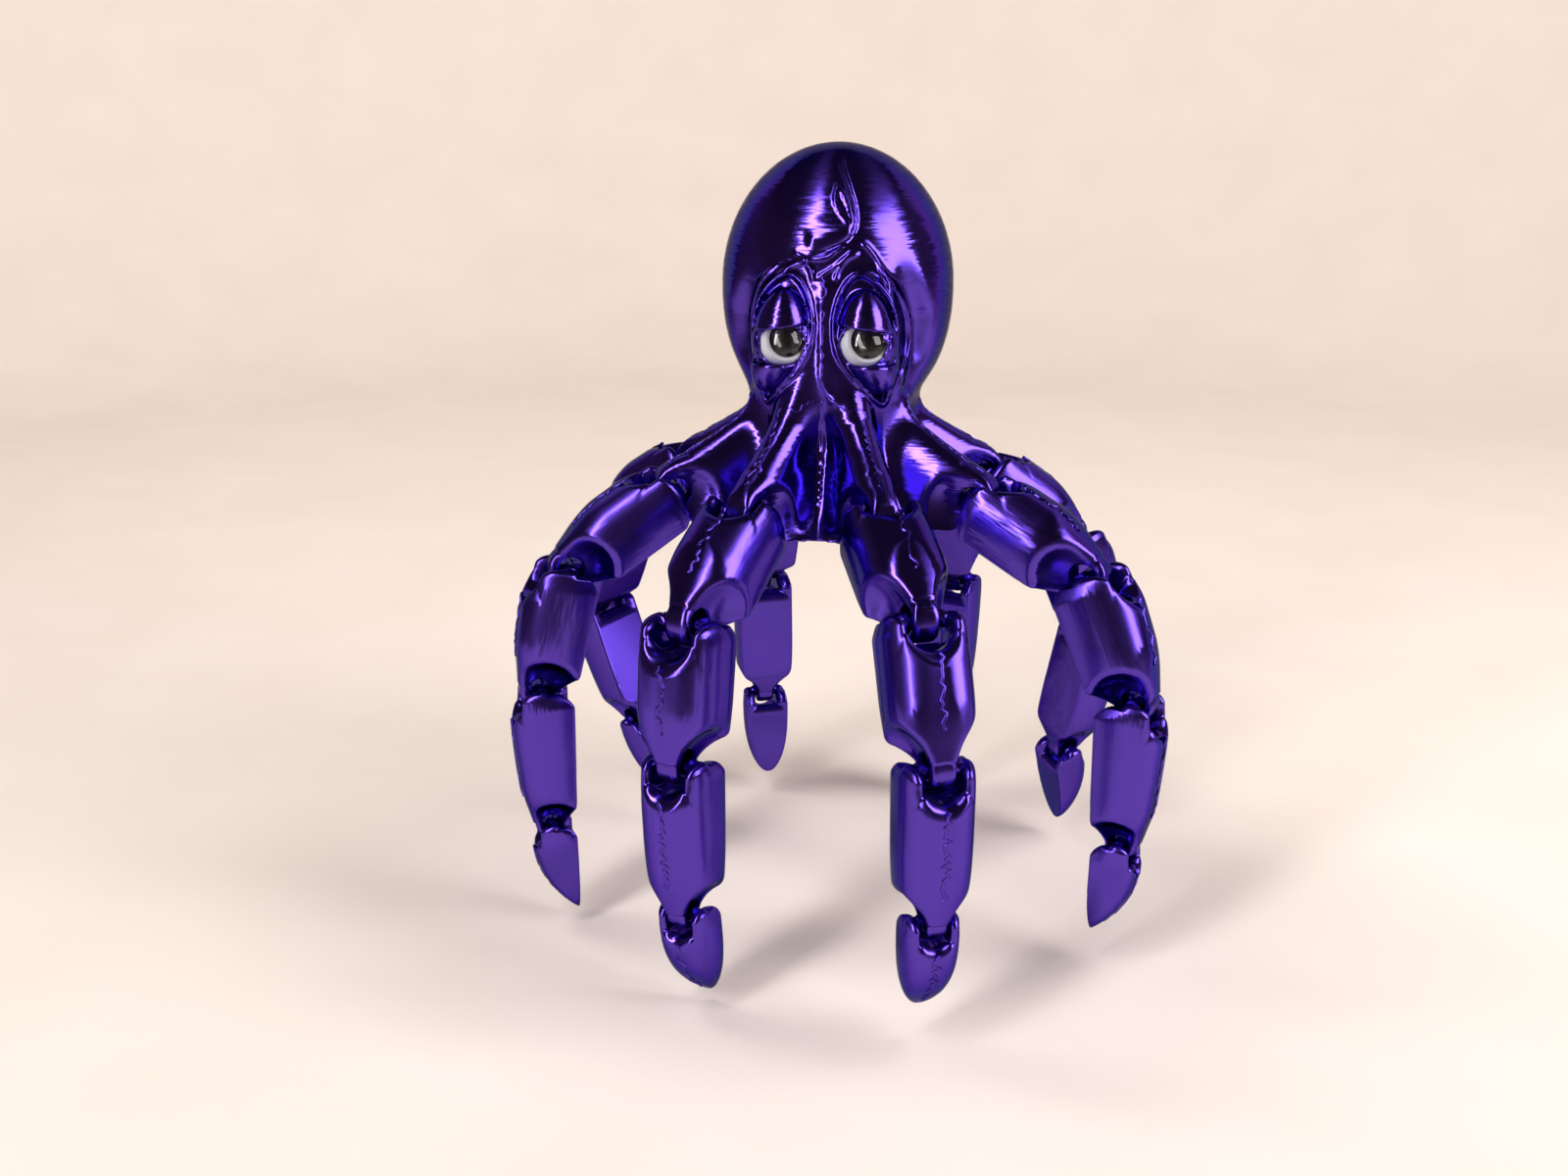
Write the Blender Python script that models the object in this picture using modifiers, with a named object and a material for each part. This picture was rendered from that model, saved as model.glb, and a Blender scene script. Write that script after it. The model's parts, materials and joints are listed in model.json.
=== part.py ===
"""Articulated octopus toy: a printed head on eight hanging arms of four hinged links, with glued-in eyes.

Metres, +Z up. The origin is the centre of the body's flat underside, and the face looks to -Y.
Left and right are the viewer's, so left is -X.
"""

import math

import bmesh
import bpy
from mathutils import Matrix, Vector

# Arms: how far each pair is turned from the face, how far each link hangs below the horizontal, and how far
# the play in each joint lets the arm drift round the body
PAIR_AZIMUTHS = {"front": 22.5, "fore": 67.5, "aft": 112.5, "rear": 157.5}
SIDES = {"left": -1, "right": 1}
HANG_ANGLES = {
    ("front", "left"): (35, 81, 87, 95),
    ("front", "right"): (27, 66, 88, 92),
    ("fore", "left"): (34, 76, 89, 91),
    ("fore", "right"): (27, 66, 89, 91),
    ("aft", "left"): (32, 66, 107, 103),
    ("aft", "right"): (36, 66, 98, 72),
    ("rear", "left"): (30, 76, 93, 92),
    ("rear", "right"): (28, 74, 94, 93),
}
DRIFT_ANGLES = {("front", "left"): 1, ("aft", "left"): -5, ("aft", "right"): 5}

# Links, from the body outwards: a link's length runs from its own bar to the next one, or to the tip's end
LINK_NAMES = ("upper_link", "middle_link", "lower_link", "tip")
LINK_LENGTHS = (0.0336, 0.0330, 0.0380, 0.0262)
LINK_WIDTHS = (0.0214, 0.0210, 0.0184, 0.0144)
LINK_HEIGHTS = (0.0186, 0.0190, 0.0170, 0.0125)
BAR_HEIGHTS = (0.0080, 0.0076, 0.0084, 0.0062)
JOINT_SCALES = (1.0, 1.0, 0.9, 0.75)
ARCH_SHARES = ((0.92, 0.0), (1.0, 0.36), (0.74, 0.86))
TIP_SHARES = (0.42, 0.62, 0.79, 0.92, 1.0)
TIP_POINT_SHARE = 0.12
TIP_SIDE_POWER = 3.0
TIP_SIDE_ROOT = 0.6
TIP_RIDGE_POWER = 2.4

# Joint at full size: a cross bar between two ears runs loosely through the hole in the nose before it
BAR_RADIUS = 0.0020
BAR_CLEARANCE = 0.0006
BAR_PLAY = 0.0013
BAR_ROOT = 0.0010
EAR_LAND = 0.0004
EAR_THICKNESS = 0.0035
NOSE_WALL = 0.0024
NOSE_THICKNESS = 0.0058
NOSE_CLEARANCE = 0.0009
NOSE_TAPER = 0.0080
NOSE_DISH_POWER = 1.7
NOSE_DRAW_SHARE = 0.25
NOSE_SHARES = (0.0, 0.32, 0.66)
NOSE_ANGLES = (0, 38, 72)
CUP_RIM = 0.0015
CUP_RIM_LOW_SHARE = 0.86
CUP_RIM_HIGH_SHARE = 0.80
CUP_SHOULDER = 0.0022
CUP_REACH = 0.0095
CUP_FLOOR = 0.0015
NOTCH_REACH = 0.0040
EAR_DRAW_SHARE = 0.95
EAR_ANGLES = (68, 28)

# Body: skirt and neck as radius and height, the spokes' ridge as distance back from the first bar and height,
# then the rounded masses as centre and radii
SPOKE_REACH = 0.0087
SPOKE_WIDTH = 0.0136
SPOKE_HEIGHT = 0.0200
SKIRT = ((0.0335, 0.0), (0.0300, 0.0055), (0.0255, 0.0130), (0.0220, 0.0215), (0.0200, 0.0310))
SPOKE_RIDGE = ((0.0362, 0.0380), (0.0217, 0.0290), (0.0142, 0.0240))
MANTLE_CENTRE = (0.0, 0.0120, 0.0575)
MANTLE_RADII = (0.0300, 0.0310, 0.0355)
MANTLE_FULL_POWER = 2.3
FACE_CENTRE = (0.0, -0.0060, 0.0400)
FACE_RADII = (0.0200, 0.0165, 0.0300)
BROW_DROP = (0.0, 0.0055, 0.0020)
BROW_RADII = (0.0088, 0.0085, 0.0145)

# Eyes, placed from the face's centre
EYE_OFFSET = (0.0099, -0.0135, 0.0065)
EYE_RADIUS = 0.0060
EYE_TURN = 5.0
EYE_LIFT = 4.0
EYE_CLEARANCE = 0.0003
DOME_HEIGHT = 0.0026
IRIS_THICKNESS = 0.0004
IRIS_MARGIN = 0.0002
LENS_GAP = 0.0002
LID_THICKNESS = 0.0010
UPPER_LID = 0.0044
LOWER_LID = 0.0046

# Roundness of curved faces
BAR_SIDES = 10
POCKET_SIDES = 12
SLOT_STEP = 36
EYE_SIDES = 16
BALL_SIDES = 24
SKIRT_STEPS = 24
SHARP_ANGLE = 40

# How far a tool stands past what it cuts, how far nested tools stay apart, and how near counts as touching
OVERCUT = 0.0020
TOOL_STEP = 0.0001
MERGE_DISTANCE = 0.000002
PLANE_DISTANCE = 0.000001

# Colour, roughness and metallic value of each finish
FINISHES = {
    "silk_violet": ((0.07, 0.02, 0.22, 1.0), 0.25, 0.6),
    "eye_white": ((0.80, 0.80, 0.76, 1.0), 0.30, 0.0),
    "eye_iris": ((0.02, 0.02, 0.025, 1.0), 0.30, 0.0),
    "eye_lens": ((0.90, 0.92, 0.95, 1.0), 0.05, 0.0),
}


def clear_scene():
    for item in list(bpy.data.objects):
        bpy.data.objects.remove(item, do_unlink=True)


def new_collection(name):
    collection = bpy.data.collections.new(name)
    bpy.context.scene.collection.children.link(collection)
    return collection


def new_material(name):
    colour, roughness, metallic = FINISHES[name]
    material = bpy.data.materials.new(name)
    material.use_nodes = True
    shader = material.node_tree.nodes["Principled BSDF"]
    shader.inputs["Base Color"].default_value = colour
    shader.inputs["Roughness"].default_value = roughness
    shader.inputs["Metallic"].default_value = metallic
    return material


def new_object(name, mesh, collection):
    item = bpy.data.objects.new(name, mesh)
    collection.objects.link(item)
    return item


def tool(name, shape, cutters):
    """A hidden solid that joins or cuts another, from a bmesh."""
    bmesh.ops.recalc_face_normals(shape, faces=shape.faces)
    mesh = bpy.data.meshes.new(name)
    shape.to_mesh(mesh)
    shape.free()
    item = new_object(name, mesh, cutters)
    item.hide_render = True
    item.display_type = "WIRE"
    return item


def weld(mesh):
    """Close up the slivers that a join or a cut leaves."""
    shape = bmesh.new()
    shape.from_mesh(mesh)
    bmesh.ops.remove_doubles(shape, verts=shape.verts, dist=MERGE_DISTANCE)
    bmesh.ops.dissolve_degenerate(shape, edges=shape.edges, dist=MERGE_DISTANCE)
    shape.to_mesh(mesh)
    shape.free()


def combined_mesh(name, masses, cuts, additions=()):
    """The first mass joined to the others, then cut, then joined to the additions, as one mesh."""
    base = masses[0]
    groups = []
    for operation, others in (("UNION", masses[1:]), ("DIFFERENCE", cuts), ("UNION", additions)):
        if others:
            group = bpy.data.collections.new(f"{name}_{operation.lower()}")
            for item in others:
                group.objects.link(item)
            modifier = base.modifiers.new(group.name, "BOOLEAN")
            modifier.operation = operation
            modifier.operand_type = "COLLECTION"
            modifier.collection = group
            groups.append(group)
    bpy.context.view_layer.update()
    graph = bpy.context.evaluated_depsgraph_get()
    mesh = bpy.data.meshes.new_from_object(base.evaluated_get(graph))
    mesh.name = name
    weld(mesh)
    for group in groups:
        bpy.data.collections.remove(group)
    for item in [*masses, *cuts, *additions]:
        bpy.data.objects.remove(item, do_unlink=True)
    return mesh


def finish_mesh(mesh, material):
    mesh.materials.clear()
    mesh.materials.append(material)
    mesh.shade_smooth()
    mesh.set_sharp_from_angle(angle=math.radians(SHARP_ANGLE))


# Tool shapes
def cross_cylinder(name, centre, radius, length, sides, cutters):
    """A cylinder across the arm, along Y, twisted so that its corners miss the arm's sections."""
    shape = bmesh.new()
    turn = Matrix.Rotation(math.pi / 2, 4, "X") @ Matrix.Rotation(math.pi / (2 * sides), 4, "Z")
    bmesh.ops.create_cone(
        shape, cap_ends=True, segments=sides, radius1=radius, radius2=radius, depth=length, matrix=turn
    )
    bmesh.ops.translate(shape, verts=shape.verts, vec=centre)
    return tool(name, shape, cutters)


def box(name, low, high, cutters):
    shape = bmesh.new()
    low, high = Vector(low), Vector(high)
    place = Matrix.Translation((low + high) / 2) @ Matrix.Diagonal(high - low).to_4x4()
    bmesh.ops.create_cube(shape, size=1.0, matrix=place)
    return tool(name, shape, cutters)


def ball_shape(radius, sides, planes=()):
    """A ball cut by planes, each given as a point and the normal of the side that goes."""
    shape = bmesh.new()
    bmesh.ops.create_uvsphere(shape, u_segments=sides, v_segments=sides // 2, radius=radius)
    for point, normal in planes:
        whole = list(shape.verts) + list(shape.edges) + list(shape.faces)
        found = bmesh.ops.bisect_plane(
            shape, geom=whole, plane_co=point, plane_no=normal, clear_outer=True, dist=PLANE_DISTANCE
        )
        rim = [part for part in found["geom_cut"] if isinstance(part, bmesh.types.BMEdge)]
        bmesh.ops.contextual_create(shape, geom=rim)
    return shape


def ball(name, centre, radii, sides, cutters):
    shape = ball_shape(1.0, sides)
    place = Matrix.Translation(centre) @ Matrix.Diagonal(radii).to_4x4()
    bmesh.ops.transform(shape, matrix=place, verts=shape.verts)
    return tool(name, shape, cutters)


def slot(name, half_width, reach, low, high, cutters):
    """An upright slot from behind the bar to a half-round end at reach along X."""
    shape = bmesh.new()
    start = -2 * reach
    middle = reach - half_width
    arc = [math.radians(angle) for angle in range(-90, 91, SLOT_STEP)]
    outline = [(start, half_width), (start, -half_width)]
    outline += [(middle + half_width * math.cos(a), half_width * math.sin(a)) for a in arc]
    corners = [shape.verts.new((x, y, low)) for x, y in outline]
    face = shape.faces.new(corners)
    raised = bmesh.ops.extrude_face_region(shape, geom=[face])
    tops = [part for part in raised["geom"] if isinstance(part, bmesh.types.BMVert)]
    bmesh.ops.translate(shape, verts=tops, vec=(0, 0, high - low))
    return tool(name, shape, cutters)


# Arm shapes
def arch_section(x, half_width, low, high):
    """A flat-bottomed arch across the arm at x: up one side, over the ridge and down the other."""
    rise = [(share * half_width, low + height * (high - low)) for share, height in ARCH_SHARES]
    fall = [(-y, z) for y, z in reversed(rise)]
    return [(x, y, z) for y, z in rise + [(0.0, high)] + fall]


def loft(name, rows, cutters):
    """A closed skin over arch sections, each given as x, half width, low and high."""
    shape = bmesh.new()
    rings = [[shape.verts.new(point) for point in arch_section(*row)] for row in rows]
    for ring, following in zip(rings, rings[1:]):
        for i, corner in enumerate(ring):
            j = (i + 1) % len(ring)
            shape.faces.new((corner, ring[j], following[j], following[i]))
    shape.faces.new(rings[0])
    shape.faces.new(rings[-1])
    return tool(name, shape, cutters)


def hole_radius(size):
    return size * (BAR_RADIUS + BAR_PLAY)


def hole_centre(bar_x, size):
    """The hole sits back from the bar, which hangs against the hole's outer side."""
    return bar_x - size * (BAR_PLAY - BAR_CLEARANCE)


def nose_rows(bar_x, bar_z, half_width, low, high, size):
    """Rows of an outer end: a dished taper from the full arch to a rounded nose about the hole."""
    thin = size * NOSE_THICKNESS / 2
    radius = hole_radius(size) + size * NOSE_WALL
    start = bar_x - size * NOSE_TAPER
    centre = hole_centre(bar_x, size)
    rows = []
    for share in NOSE_SHARES:
        x = start + share * (centre - start)
        width = thin + (half_width - thin) * (1 - share) ** NOSE_DISH_POWER
        bottom = low + share * (bar_z - radius - low)
        top = high + share * (bar_z + radius - high)
        rows.append((x, width, bottom, top))
    for angle in NOSE_ANGLES:
        sine, cosine = math.sin(math.radians(angle)), math.cos(math.radians(angle))
        rise = radius * cosine
        rows.append((centre + radius * sine, thin * (1 - NOSE_DRAW_SHARE * sine), bar_z - rise, bar_z + rise))
    return rows


def ear_rows(half_width, low, high, size):
    """Rows of an inner end: rounded ears about the bar, widening to the cup's rim and the full arch."""
    ear = size * (BAR_RADIUS + EAR_LAND)
    rim = size * CUP_RIM
    rows = []
    for angle in EAR_ANGLES:
        rise = ear * math.cos(math.radians(angle))
        rows.append((-ear * math.sin(math.radians(angle)), EAR_DRAW_SHARE * half_width, -rise, rise))
    rows.append((rim, half_width, CUP_RIM_LOW_SHARE * low, CUP_RIM_HIGH_SHARE * high))
    rows.append((rim + size * CUP_SHOULDER, half_width, low, high))
    return rows


def tip_rows(half_width, low, high, start, length):
    """Rows of the last link: its ridge curves down and its sides draw in to a rounded point."""
    rows = []
    for share in TIP_SHARES:
        x = start + share * (length - start)
        width = half_width * max(TIP_POINT_SHARE, (1 - share**TIP_SIDE_POWER) ** TIP_SIDE_ROOT)
        rise = (high - low) * max(TIP_POINT_SHARE, 1 - share**TIP_RIDGE_POWER)
        rows.append((x, width, low, low + rise))
    return rows


def hole_cutter(bar_x, bar_z, width, size, cutters):
    centre = (hole_centre(bar_x, size), 0.0, bar_z)
    return cross_cylinder("nose_hole", centre, hole_radius(size), 2 * width, BAR_SIDES, cutters)


def link_mesh(index, cutters):
    """One link along +X from its own bar at the origin, with its flat face down."""
    length, width, size = LINK_LENGTHS[index], LINK_WIDTHS[index], JOINT_SCALES[index]
    low = -BAR_HEIGHTS[index]
    high = low + LINK_HEIGHTS[index]
    gap = width / 2 - size * EAR_THICKNESS
    rows = ear_rows(width / 2, low, high, size)
    pocket = hole_radius(size) + size * (NOSE_WALL + NOSE_CLEARANCE)
    cuts = [
        slot("cup", gap, size * CUP_REACH, -size * CUP_FLOOR, high + OVERCUT, cutters),
        cross_cylinder("pocket", (0, 0, 0), pocket, 2 * (gap - TOOL_STEP), POCKET_SIDES, cutters),
        box(
            "notch",
            (-2 * size * CUP_REACH, 2 * TOOL_STEP - gap, low - OVERCUT),
            (size * NOTCH_REACH, gap - 2 * TOOL_STEP, 0.0),
            cutters,
        ),
    ]
    if index + 1 < len(LINK_NAMES):
        bar_z = low + BAR_HEIGHTS[index + 1]
        next_high = low + LINK_HEIGHTS[index + 1] + (LINK_HEIGHTS[index] - LINK_HEIGHTS[index + 1]) / 2
        rows += nose_rows(length, bar_z, width / 2, low, next_high, JOINT_SCALES[index + 1])
        cuts.append(hole_cutter(length, bar_z, width, JOINT_SCALES[index + 1], cutters))
    else:
        rows += tip_rows(width / 2, low, high, rows[-1][0], length)
    bar = cross_cylinder(
        "bar", (0, 0, 0), size * BAR_RADIUS, 2 * (gap + size * BAR_ROOT), BAR_SIDES, cutters
    )
    return combined_mesh(LINK_NAMES[index], [loft("link", rows, cutters)], cuts, [bar])


# Body
def skirt(cutters):
    """The flared skirt and neck, a turned profile from the top down to just below the underside."""
    profile = [(0.0, SKIRT[-1][1])] + list(reversed(SKIRT))
    profile += [(SKIRT[0][0], -OVERCUT), (0.0, -OVERCUT)]
    mesh = bpy.data.meshes.new("skirt_profile")
    edges = [(i, i + 1) for i in range(len(profile) - 1)]
    mesh.from_pydata([(radius, 0.0, z) for radius, z in profile], edges, [])
    item = new_object("skirt", mesh, cutters)
    turn = item.modifiers.new("turn", "SCREW")
    turn.steps = SKIRT_STEPS
    turn.render_steps = SKIRT_STEPS
    turn.use_merge_vertices = True
    turn.merge_threshold = MERGE_DISTANCE
    return item


def root_bar():
    """The first bar of an arm that points along +X."""
    return Vector((SKIRT[0][0] + SPOKE_REACH, 0.0, BAR_HEIGHTS[0]))


def mantle(cutters):
    """The rounded bag of the head, fuller below its middle than a plain ball."""
    shape = ball_shape(1.0, BALL_SIDES)
    for corner in shape.verts:
        spread = corner.co.xy.length
        if corner.co.z < 0 and spread > PLANE_DISTANCE:
            full = (1 - abs(corner.co.z) ** MANTLE_FULL_POWER) ** (1 / MANTLE_FULL_POWER)
            corner.co.xy *= full / spread
    place = Matrix.Translation(MANTLE_CENTRE) @ Matrix.Diagonal(MANTLE_RADII).to_4x4()
    bmesh.ops.transform(shape, matrix=place, verts=shape.verts)
    return tool("mantle", shape, cutters)


def spoke(azimuth, cutters):
    """One arm root: a ridge falling from the neck, ending in a nose for the upper link's bar."""
    half_width = SPOKE_WIDTH / 2
    bar = root_bar()
    rows = [(bar.x - back, half_width, -OVERCUT, ridge) for back, ridge in SPOKE_RIDGE]
    rows += nose_rows(bar.x, bar.z, half_width, -OVERCUT, SPOKE_HEIGHT, JOINT_SCALES[0])
    item = loft("spoke", rows, cutters)
    hole = hole_cutter(bar.x, bar.z, LINK_WIDTHS[0], JOINT_SCALES[0], cutters)
    for piece in (item, hole):
        piece.rotation_euler.z = azimuth
    return item, hole


def arm_azimuths():
    """Each arm's name and its turn about +Z from +X."""
    for pair, azimuth in PAIR_AZIMUTHS.items():
        for side, sign in SIDES.items():
            yield pair, side, math.radians(sign * azimuth - 90)


def lids(centre, cutters):
    """Upper and lower lid: slices of a ball just larger than the socket, twisted clear of its corners."""
    radius = EYE_RADIUS + EYE_CLEARANCE + LID_THICKNESS
    upper = ball_shape(radius, EYE_SIDES, [((0, 0, UPPER_LID), (0, 0, -1))])
    lower = ball_shape(radius, EYE_SIDES, [((0, 0, -LOWER_LID), (0, 0, 1))])
    place = Matrix.Translation(centre) @ Matrix.Rotation(math.pi / (2 * EYE_SIDES), 4, "Z")
    for name, shape in (("upper_lid", upper), ("lower_lid", lower)):
        bmesh.ops.transform(shape, matrix=place, verts=shape.verts)
        yield tool(name, shape, cutters)


def eye_centre(sign):
    across, out, up = EYE_OFFSET
    return Vector(FACE_CENTRE) + Vector((sign * across, out, up))


def body_mesh(cutters):
    masses = [
        skirt(cutters),
        mantle(cutters),
        ball("face", FACE_CENTRE, FACE_RADII, BALL_SIDES, cutters),
    ]
    below = 2 * root_bar().x
    cuts = [box("underside", (-below, -below, -below), (below, below, 0.0), cutters)]
    for pair, side, azimuth in arm_azimuths():
        item, hole = spoke(azimuth, cutters)
        masses.append(item)
        cuts.append(hole)
    for sign in SIDES.values():
        centre = eye_centre(sign)
        masses.append(ball("brow", centre + Vector(BROW_DROP), BROW_RADII, EYE_SIDES, cutters))
        masses += lids(centre, cutters)
        socket = EYE_RADIUS + EYE_CLEARANCE
        cuts.append(ball("socket", centre, (socket, socket, socket), EYE_SIDES, cutters))
    return combined_mesh("body", masses, cuts)


# Eyes, along +Z from the ball's centre
def eye_meshes(cutters):
    """The white up to its flat, the iris on the flat and the clear dome over both."""
    flat = EYE_RADIUS - DOME_HEIGHT
    white = ball_shape(EYE_RADIUS, EYE_SIDES, [((0, 0, flat), (0, 0, 1))])
    iris_low = flat + LENS_GAP
    iris_high = iris_low + IRIS_THICKNESS
    iris_radius = math.sqrt(EYE_RADIUS**2 - iris_high**2) - IRIS_MARGIN
    iris = bmesh.new()
    bmesh.ops.create_cone(
        iris,
        cap_ends=True,
        segments=EYE_SIDES,
        radius1=iris_radius,
        radius2=iris_radius,
        depth=IRIS_THICKNESS,
        matrix=Matrix.Translation((0, 0, (iris_low + iris_high) / 2)),
    )
    lens = ball_shape(EYE_RADIUS, EYE_SIDES, [((0, 0, iris_high + LENS_GAP), (0, 0, -1))])
    for name, shape in (("eye_white", white), ("eye_iris", iris), ("eye_lens", lens)):
        yield name, combined_mesh(name, [tool(name, shape, cutters)], [])


def hang_arm(pair, side, azimuth, body, links, parts):
    """One arm, each link hanging by its bar in the nose of the piece before it."""
    drift = math.radians(DRIFT_ANGLES.get((pair, side), 0))
    place = Matrix.Rotation(azimuth, 3, "Z") @ root_bar()
    parent, before, turn = body, 0, azimuth + drift
    for index, hang in enumerate(HANG_ANGLES[pair, side]):
        link = new_object(f"{pair}_{side}_{LINK_NAMES[index]}", links[index], parts)
        link.parent = parent
        link.location = place
        link.rotation_euler = (0.0, math.radians(hang - before), turn)
        if index + 1 < len(LINK_NAMES):
            drop = BAR_HEIGHTS[index + 1] - BAR_HEIGHTS[index]
            place = Vector((LINK_LENGTHS[index], 0.0, drop))
        parent, before, turn = link, hang, drift


def build():
    clear_scene()
    parts = new_collection("articulated_octopus")
    cutters = new_collection("cutters")
    materials = {name: new_material(name) for name in FINISHES}

    mesh = body_mesh(cutters)
    finish_mesh(mesh, materials["silk_violet"])
    body = new_object("body", mesh, parts)

    links = [link_mesh(index, cutters) for index in range(len(LINK_NAMES))]
    for mesh in links:
        finish_mesh(mesh, materials["silk_violet"])
    for pair, side, azimuth in arm_azimuths():
        hang_arm(pair, side, azimuth, body, links, parts)

    for name, mesh in eye_meshes(cutters):
        finish_mesh(mesh, materials[name])
        for side, sign in SIDES.items():
            eye = new_object(f"{name}_{side}", mesh, parts)
            eye.parent = body
            eye.location = eye_centre(sign)
            eye.rotation_euler = (math.radians(90 - EYE_LIFT), 0.0, math.radians(EYE_TURN))


build()
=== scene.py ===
# %% [markdown]
# # An articulated octopus toy in silk-violet plastic
# The toy is printed in place: a head with eight spokes, and eight arms of four links that hang on cross bars.
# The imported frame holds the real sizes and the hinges. This notebook gives every piece its printed surface,
# its finish and its glued-in eyes, and lights it as a small product photograph.

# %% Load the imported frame
import json
import math

import bmesh
import bpy
import numpy as np
from mathutils import Euler, Matrix, Vector


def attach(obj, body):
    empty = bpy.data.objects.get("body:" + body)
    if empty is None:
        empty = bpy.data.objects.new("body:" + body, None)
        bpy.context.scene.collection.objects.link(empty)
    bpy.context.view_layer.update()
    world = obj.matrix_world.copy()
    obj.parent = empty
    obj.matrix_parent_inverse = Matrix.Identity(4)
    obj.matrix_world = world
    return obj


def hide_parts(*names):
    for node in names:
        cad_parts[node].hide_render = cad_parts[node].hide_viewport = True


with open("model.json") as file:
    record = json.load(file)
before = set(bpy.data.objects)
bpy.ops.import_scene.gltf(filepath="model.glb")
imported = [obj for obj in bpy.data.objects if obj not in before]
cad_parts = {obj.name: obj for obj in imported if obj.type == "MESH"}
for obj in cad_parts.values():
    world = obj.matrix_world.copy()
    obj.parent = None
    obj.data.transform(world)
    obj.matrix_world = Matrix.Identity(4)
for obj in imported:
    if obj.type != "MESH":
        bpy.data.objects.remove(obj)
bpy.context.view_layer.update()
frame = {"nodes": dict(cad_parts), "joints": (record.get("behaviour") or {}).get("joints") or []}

MM = 0.001


# %% [markdown]
# ## Sculpting with distance fields
# The head is a soft, folded form with no flat faces, and it flows into eight spokes. Box modelling such a
# form takes hundreds of hand-placed points. A distance field says instead how far any point in space is from
# the surface: masses melt together with a smooth join, hollows are cut the same way, and folds are added as
# small offsets along drawn curves. The field is then sampled on a grid and skinned with one point in each
# crossed cell, the method that is known as surface nets, and each point is pulled onto the true surface.

# %% Joins and cuts, in millimetres
def smooth_join(a, b, blend):
    overlap = np.maximum(blend - np.abs(a - b), 0.0) / blend
    return np.minimum(a, b) - overlap * overlap * blend / 4


def smooth_cut(a, b, blend):
    """What is left of a where b is taken away."""
    return -smooth_join(-a, b, blend)


def smooth_meet(a, b, blend):
    """What a and b share."""
    return -smooth_join(-a, -b, blend)


print("two walls 1 mm away, joined with a 2 mm blend, come", 1 - smooth_join(1.0, 1.0, 2.0), "mm nearer")

# %% Simple masses
SLOPE_FLOOR = 1e-4


def ellipsoid(x, y, z, centre, radii):
    across, along, up = (x - centre[0], y - centre[1], z - centre[2])
    reach = np.sqrt((across / radii[0]) ** 2 + (along / radii[1]) ** 2 + (up / radii[2]) ** 2)
    slope = np.sqrt((across / radii[0] ** 2) ** 2 + (along / radii[1] ** 2) ** 2 + (up / radii[2] ** 2) ** 2)
    return reach * (reach - 1) / np.maximum(slope, SLOPE_FLOOR)


def capsule(x, y, z, start, end, radius_start, radius_end):
    """A round bar between two points, with its own radius at each."""
    run = np.subtract(end, start)
    share = ((x - start[0]) * run[0] + (y - start[1]) * run[1] + (z - start[2]) * run[2]) / np.dot(run, run)
    share = np.clip(share, 0.0, 1.0)
    gap = np.sqrt(sum((value - s - share * r) ** 2 for value, s, r in zip((x, y, z), start, run)))
    return gap - (radius_start + share * (radius_end - radius_start))


def chain(x, y, z, stations):
    """A bent bar through stations, each a point and a radius there."""
    gap = np.full_like(x, np.inf)
    for (start, first), (end, second) in zip(stations, stations[1:]):
        gap = np.minimum(gap, capsule(x, y, z, start, end, first, second))
    return gap


ball_gap = ellipsoid(20.0, 0, 0, (0, 0, 0), (10, 10, 10))
print("20 mm from its centre, a ball of 10 mm radius is", ball_gap, "mm away")


# %% Smooth runs
def ease(value, stations):
    """A smooth run through stations, each a place and a value there, that never swings past them."""
    places, heights = np.array(stations, np.float32).T
    steps = np.diff(places)
    rates = np.diff(heights) / steps
    slopes = np.zeros_like(places)
    level = rates[1:] * rates[:-1] <= 0
    before, after = np.where(level, 1, rates[:-1]), np.where(level, 1, rates[1:])
    slopes[1:-1] = np.where(level, 0.0, 2 / (1 / after + 1 / before))
    slopes[0], slopes[-1] = rates[0], rates[-1]
    value = np.clip(value, places[0], places[-1])
    run = np.clip(np.searchsorted(places, value) - 1, 0, len(steps) - 1)
    share = (value - places[run]) / steps[run]
    start, end = heights[run], heights[run + 1]
    bend = steps[run] * (slopes[run] * (1 - share) - slopes[run + 1] * share)
    return start + (end - start) * share * share * (3 - 2 * share) + bend * share * (1 - share)


print("a run from 0 to 2 is at", ease(np.float32(0.5), ((0, 0), (1, 2))), "halfway")

# %% Sample a field and find its surface
SLAB_LAYERS = 12
PULL_STEPS, PULL_LIMIT, SLOPE_OFFSET, STEEPNESS_FLOOR = 3, 0.4, 0.125, 0.04
TINY = 1e-9


def sample(field, axes):
    """The field on a grid, a slab of layers at a time to spare memory."""
    values = np.empty([len(axis) for axis in axes], np.float32)
    x, y = np.meshgrid(axes[0], axes[1], indexing="ij")
    for first in range(0, len(axes[2]), SLAB_LAYERS):
        layers = axes[2][first : first + SLAB_LAYERS]
        shape = (*x.shape, len(layers))
        place = [np.broadcast_to(v, shape).ravel() for v in (x[..., None], y[..., None], layers)]
        values[:, :, first : first + SLAB_LAYERS] = field(*place).reshape(shape)
    return values


def value_and_slope(field, points, offset):
    value = field(*points.T)
    slope = np.empty_like(points)
    for axis in range(3):
        ahead = points.copy()
        ahead[:, axis] += offset
        slope[:, axis] = (field(*ahead.T) - value) / offset
    return value, slope


def pull_to_surface(field, points, step):
    """Move points along the field's slope until they lie where it is zero."""
    for _ in range(PULL_STEPS):
        value, slope = value_and_slope(field, points, SLOPE_OFFSET * step)
        steepness = np.maximum((slope * slope).sum(1), STEEPNESS_FLOOR)
        move = -slope * (value / steepness)[:, None]
        length = np.sqrt((move * move).sum(1))[:, None]
        points = points + move * np.minimum(1.0, PULL_LIMIT * step / np.maximum(length, TINY))
    return points


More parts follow.
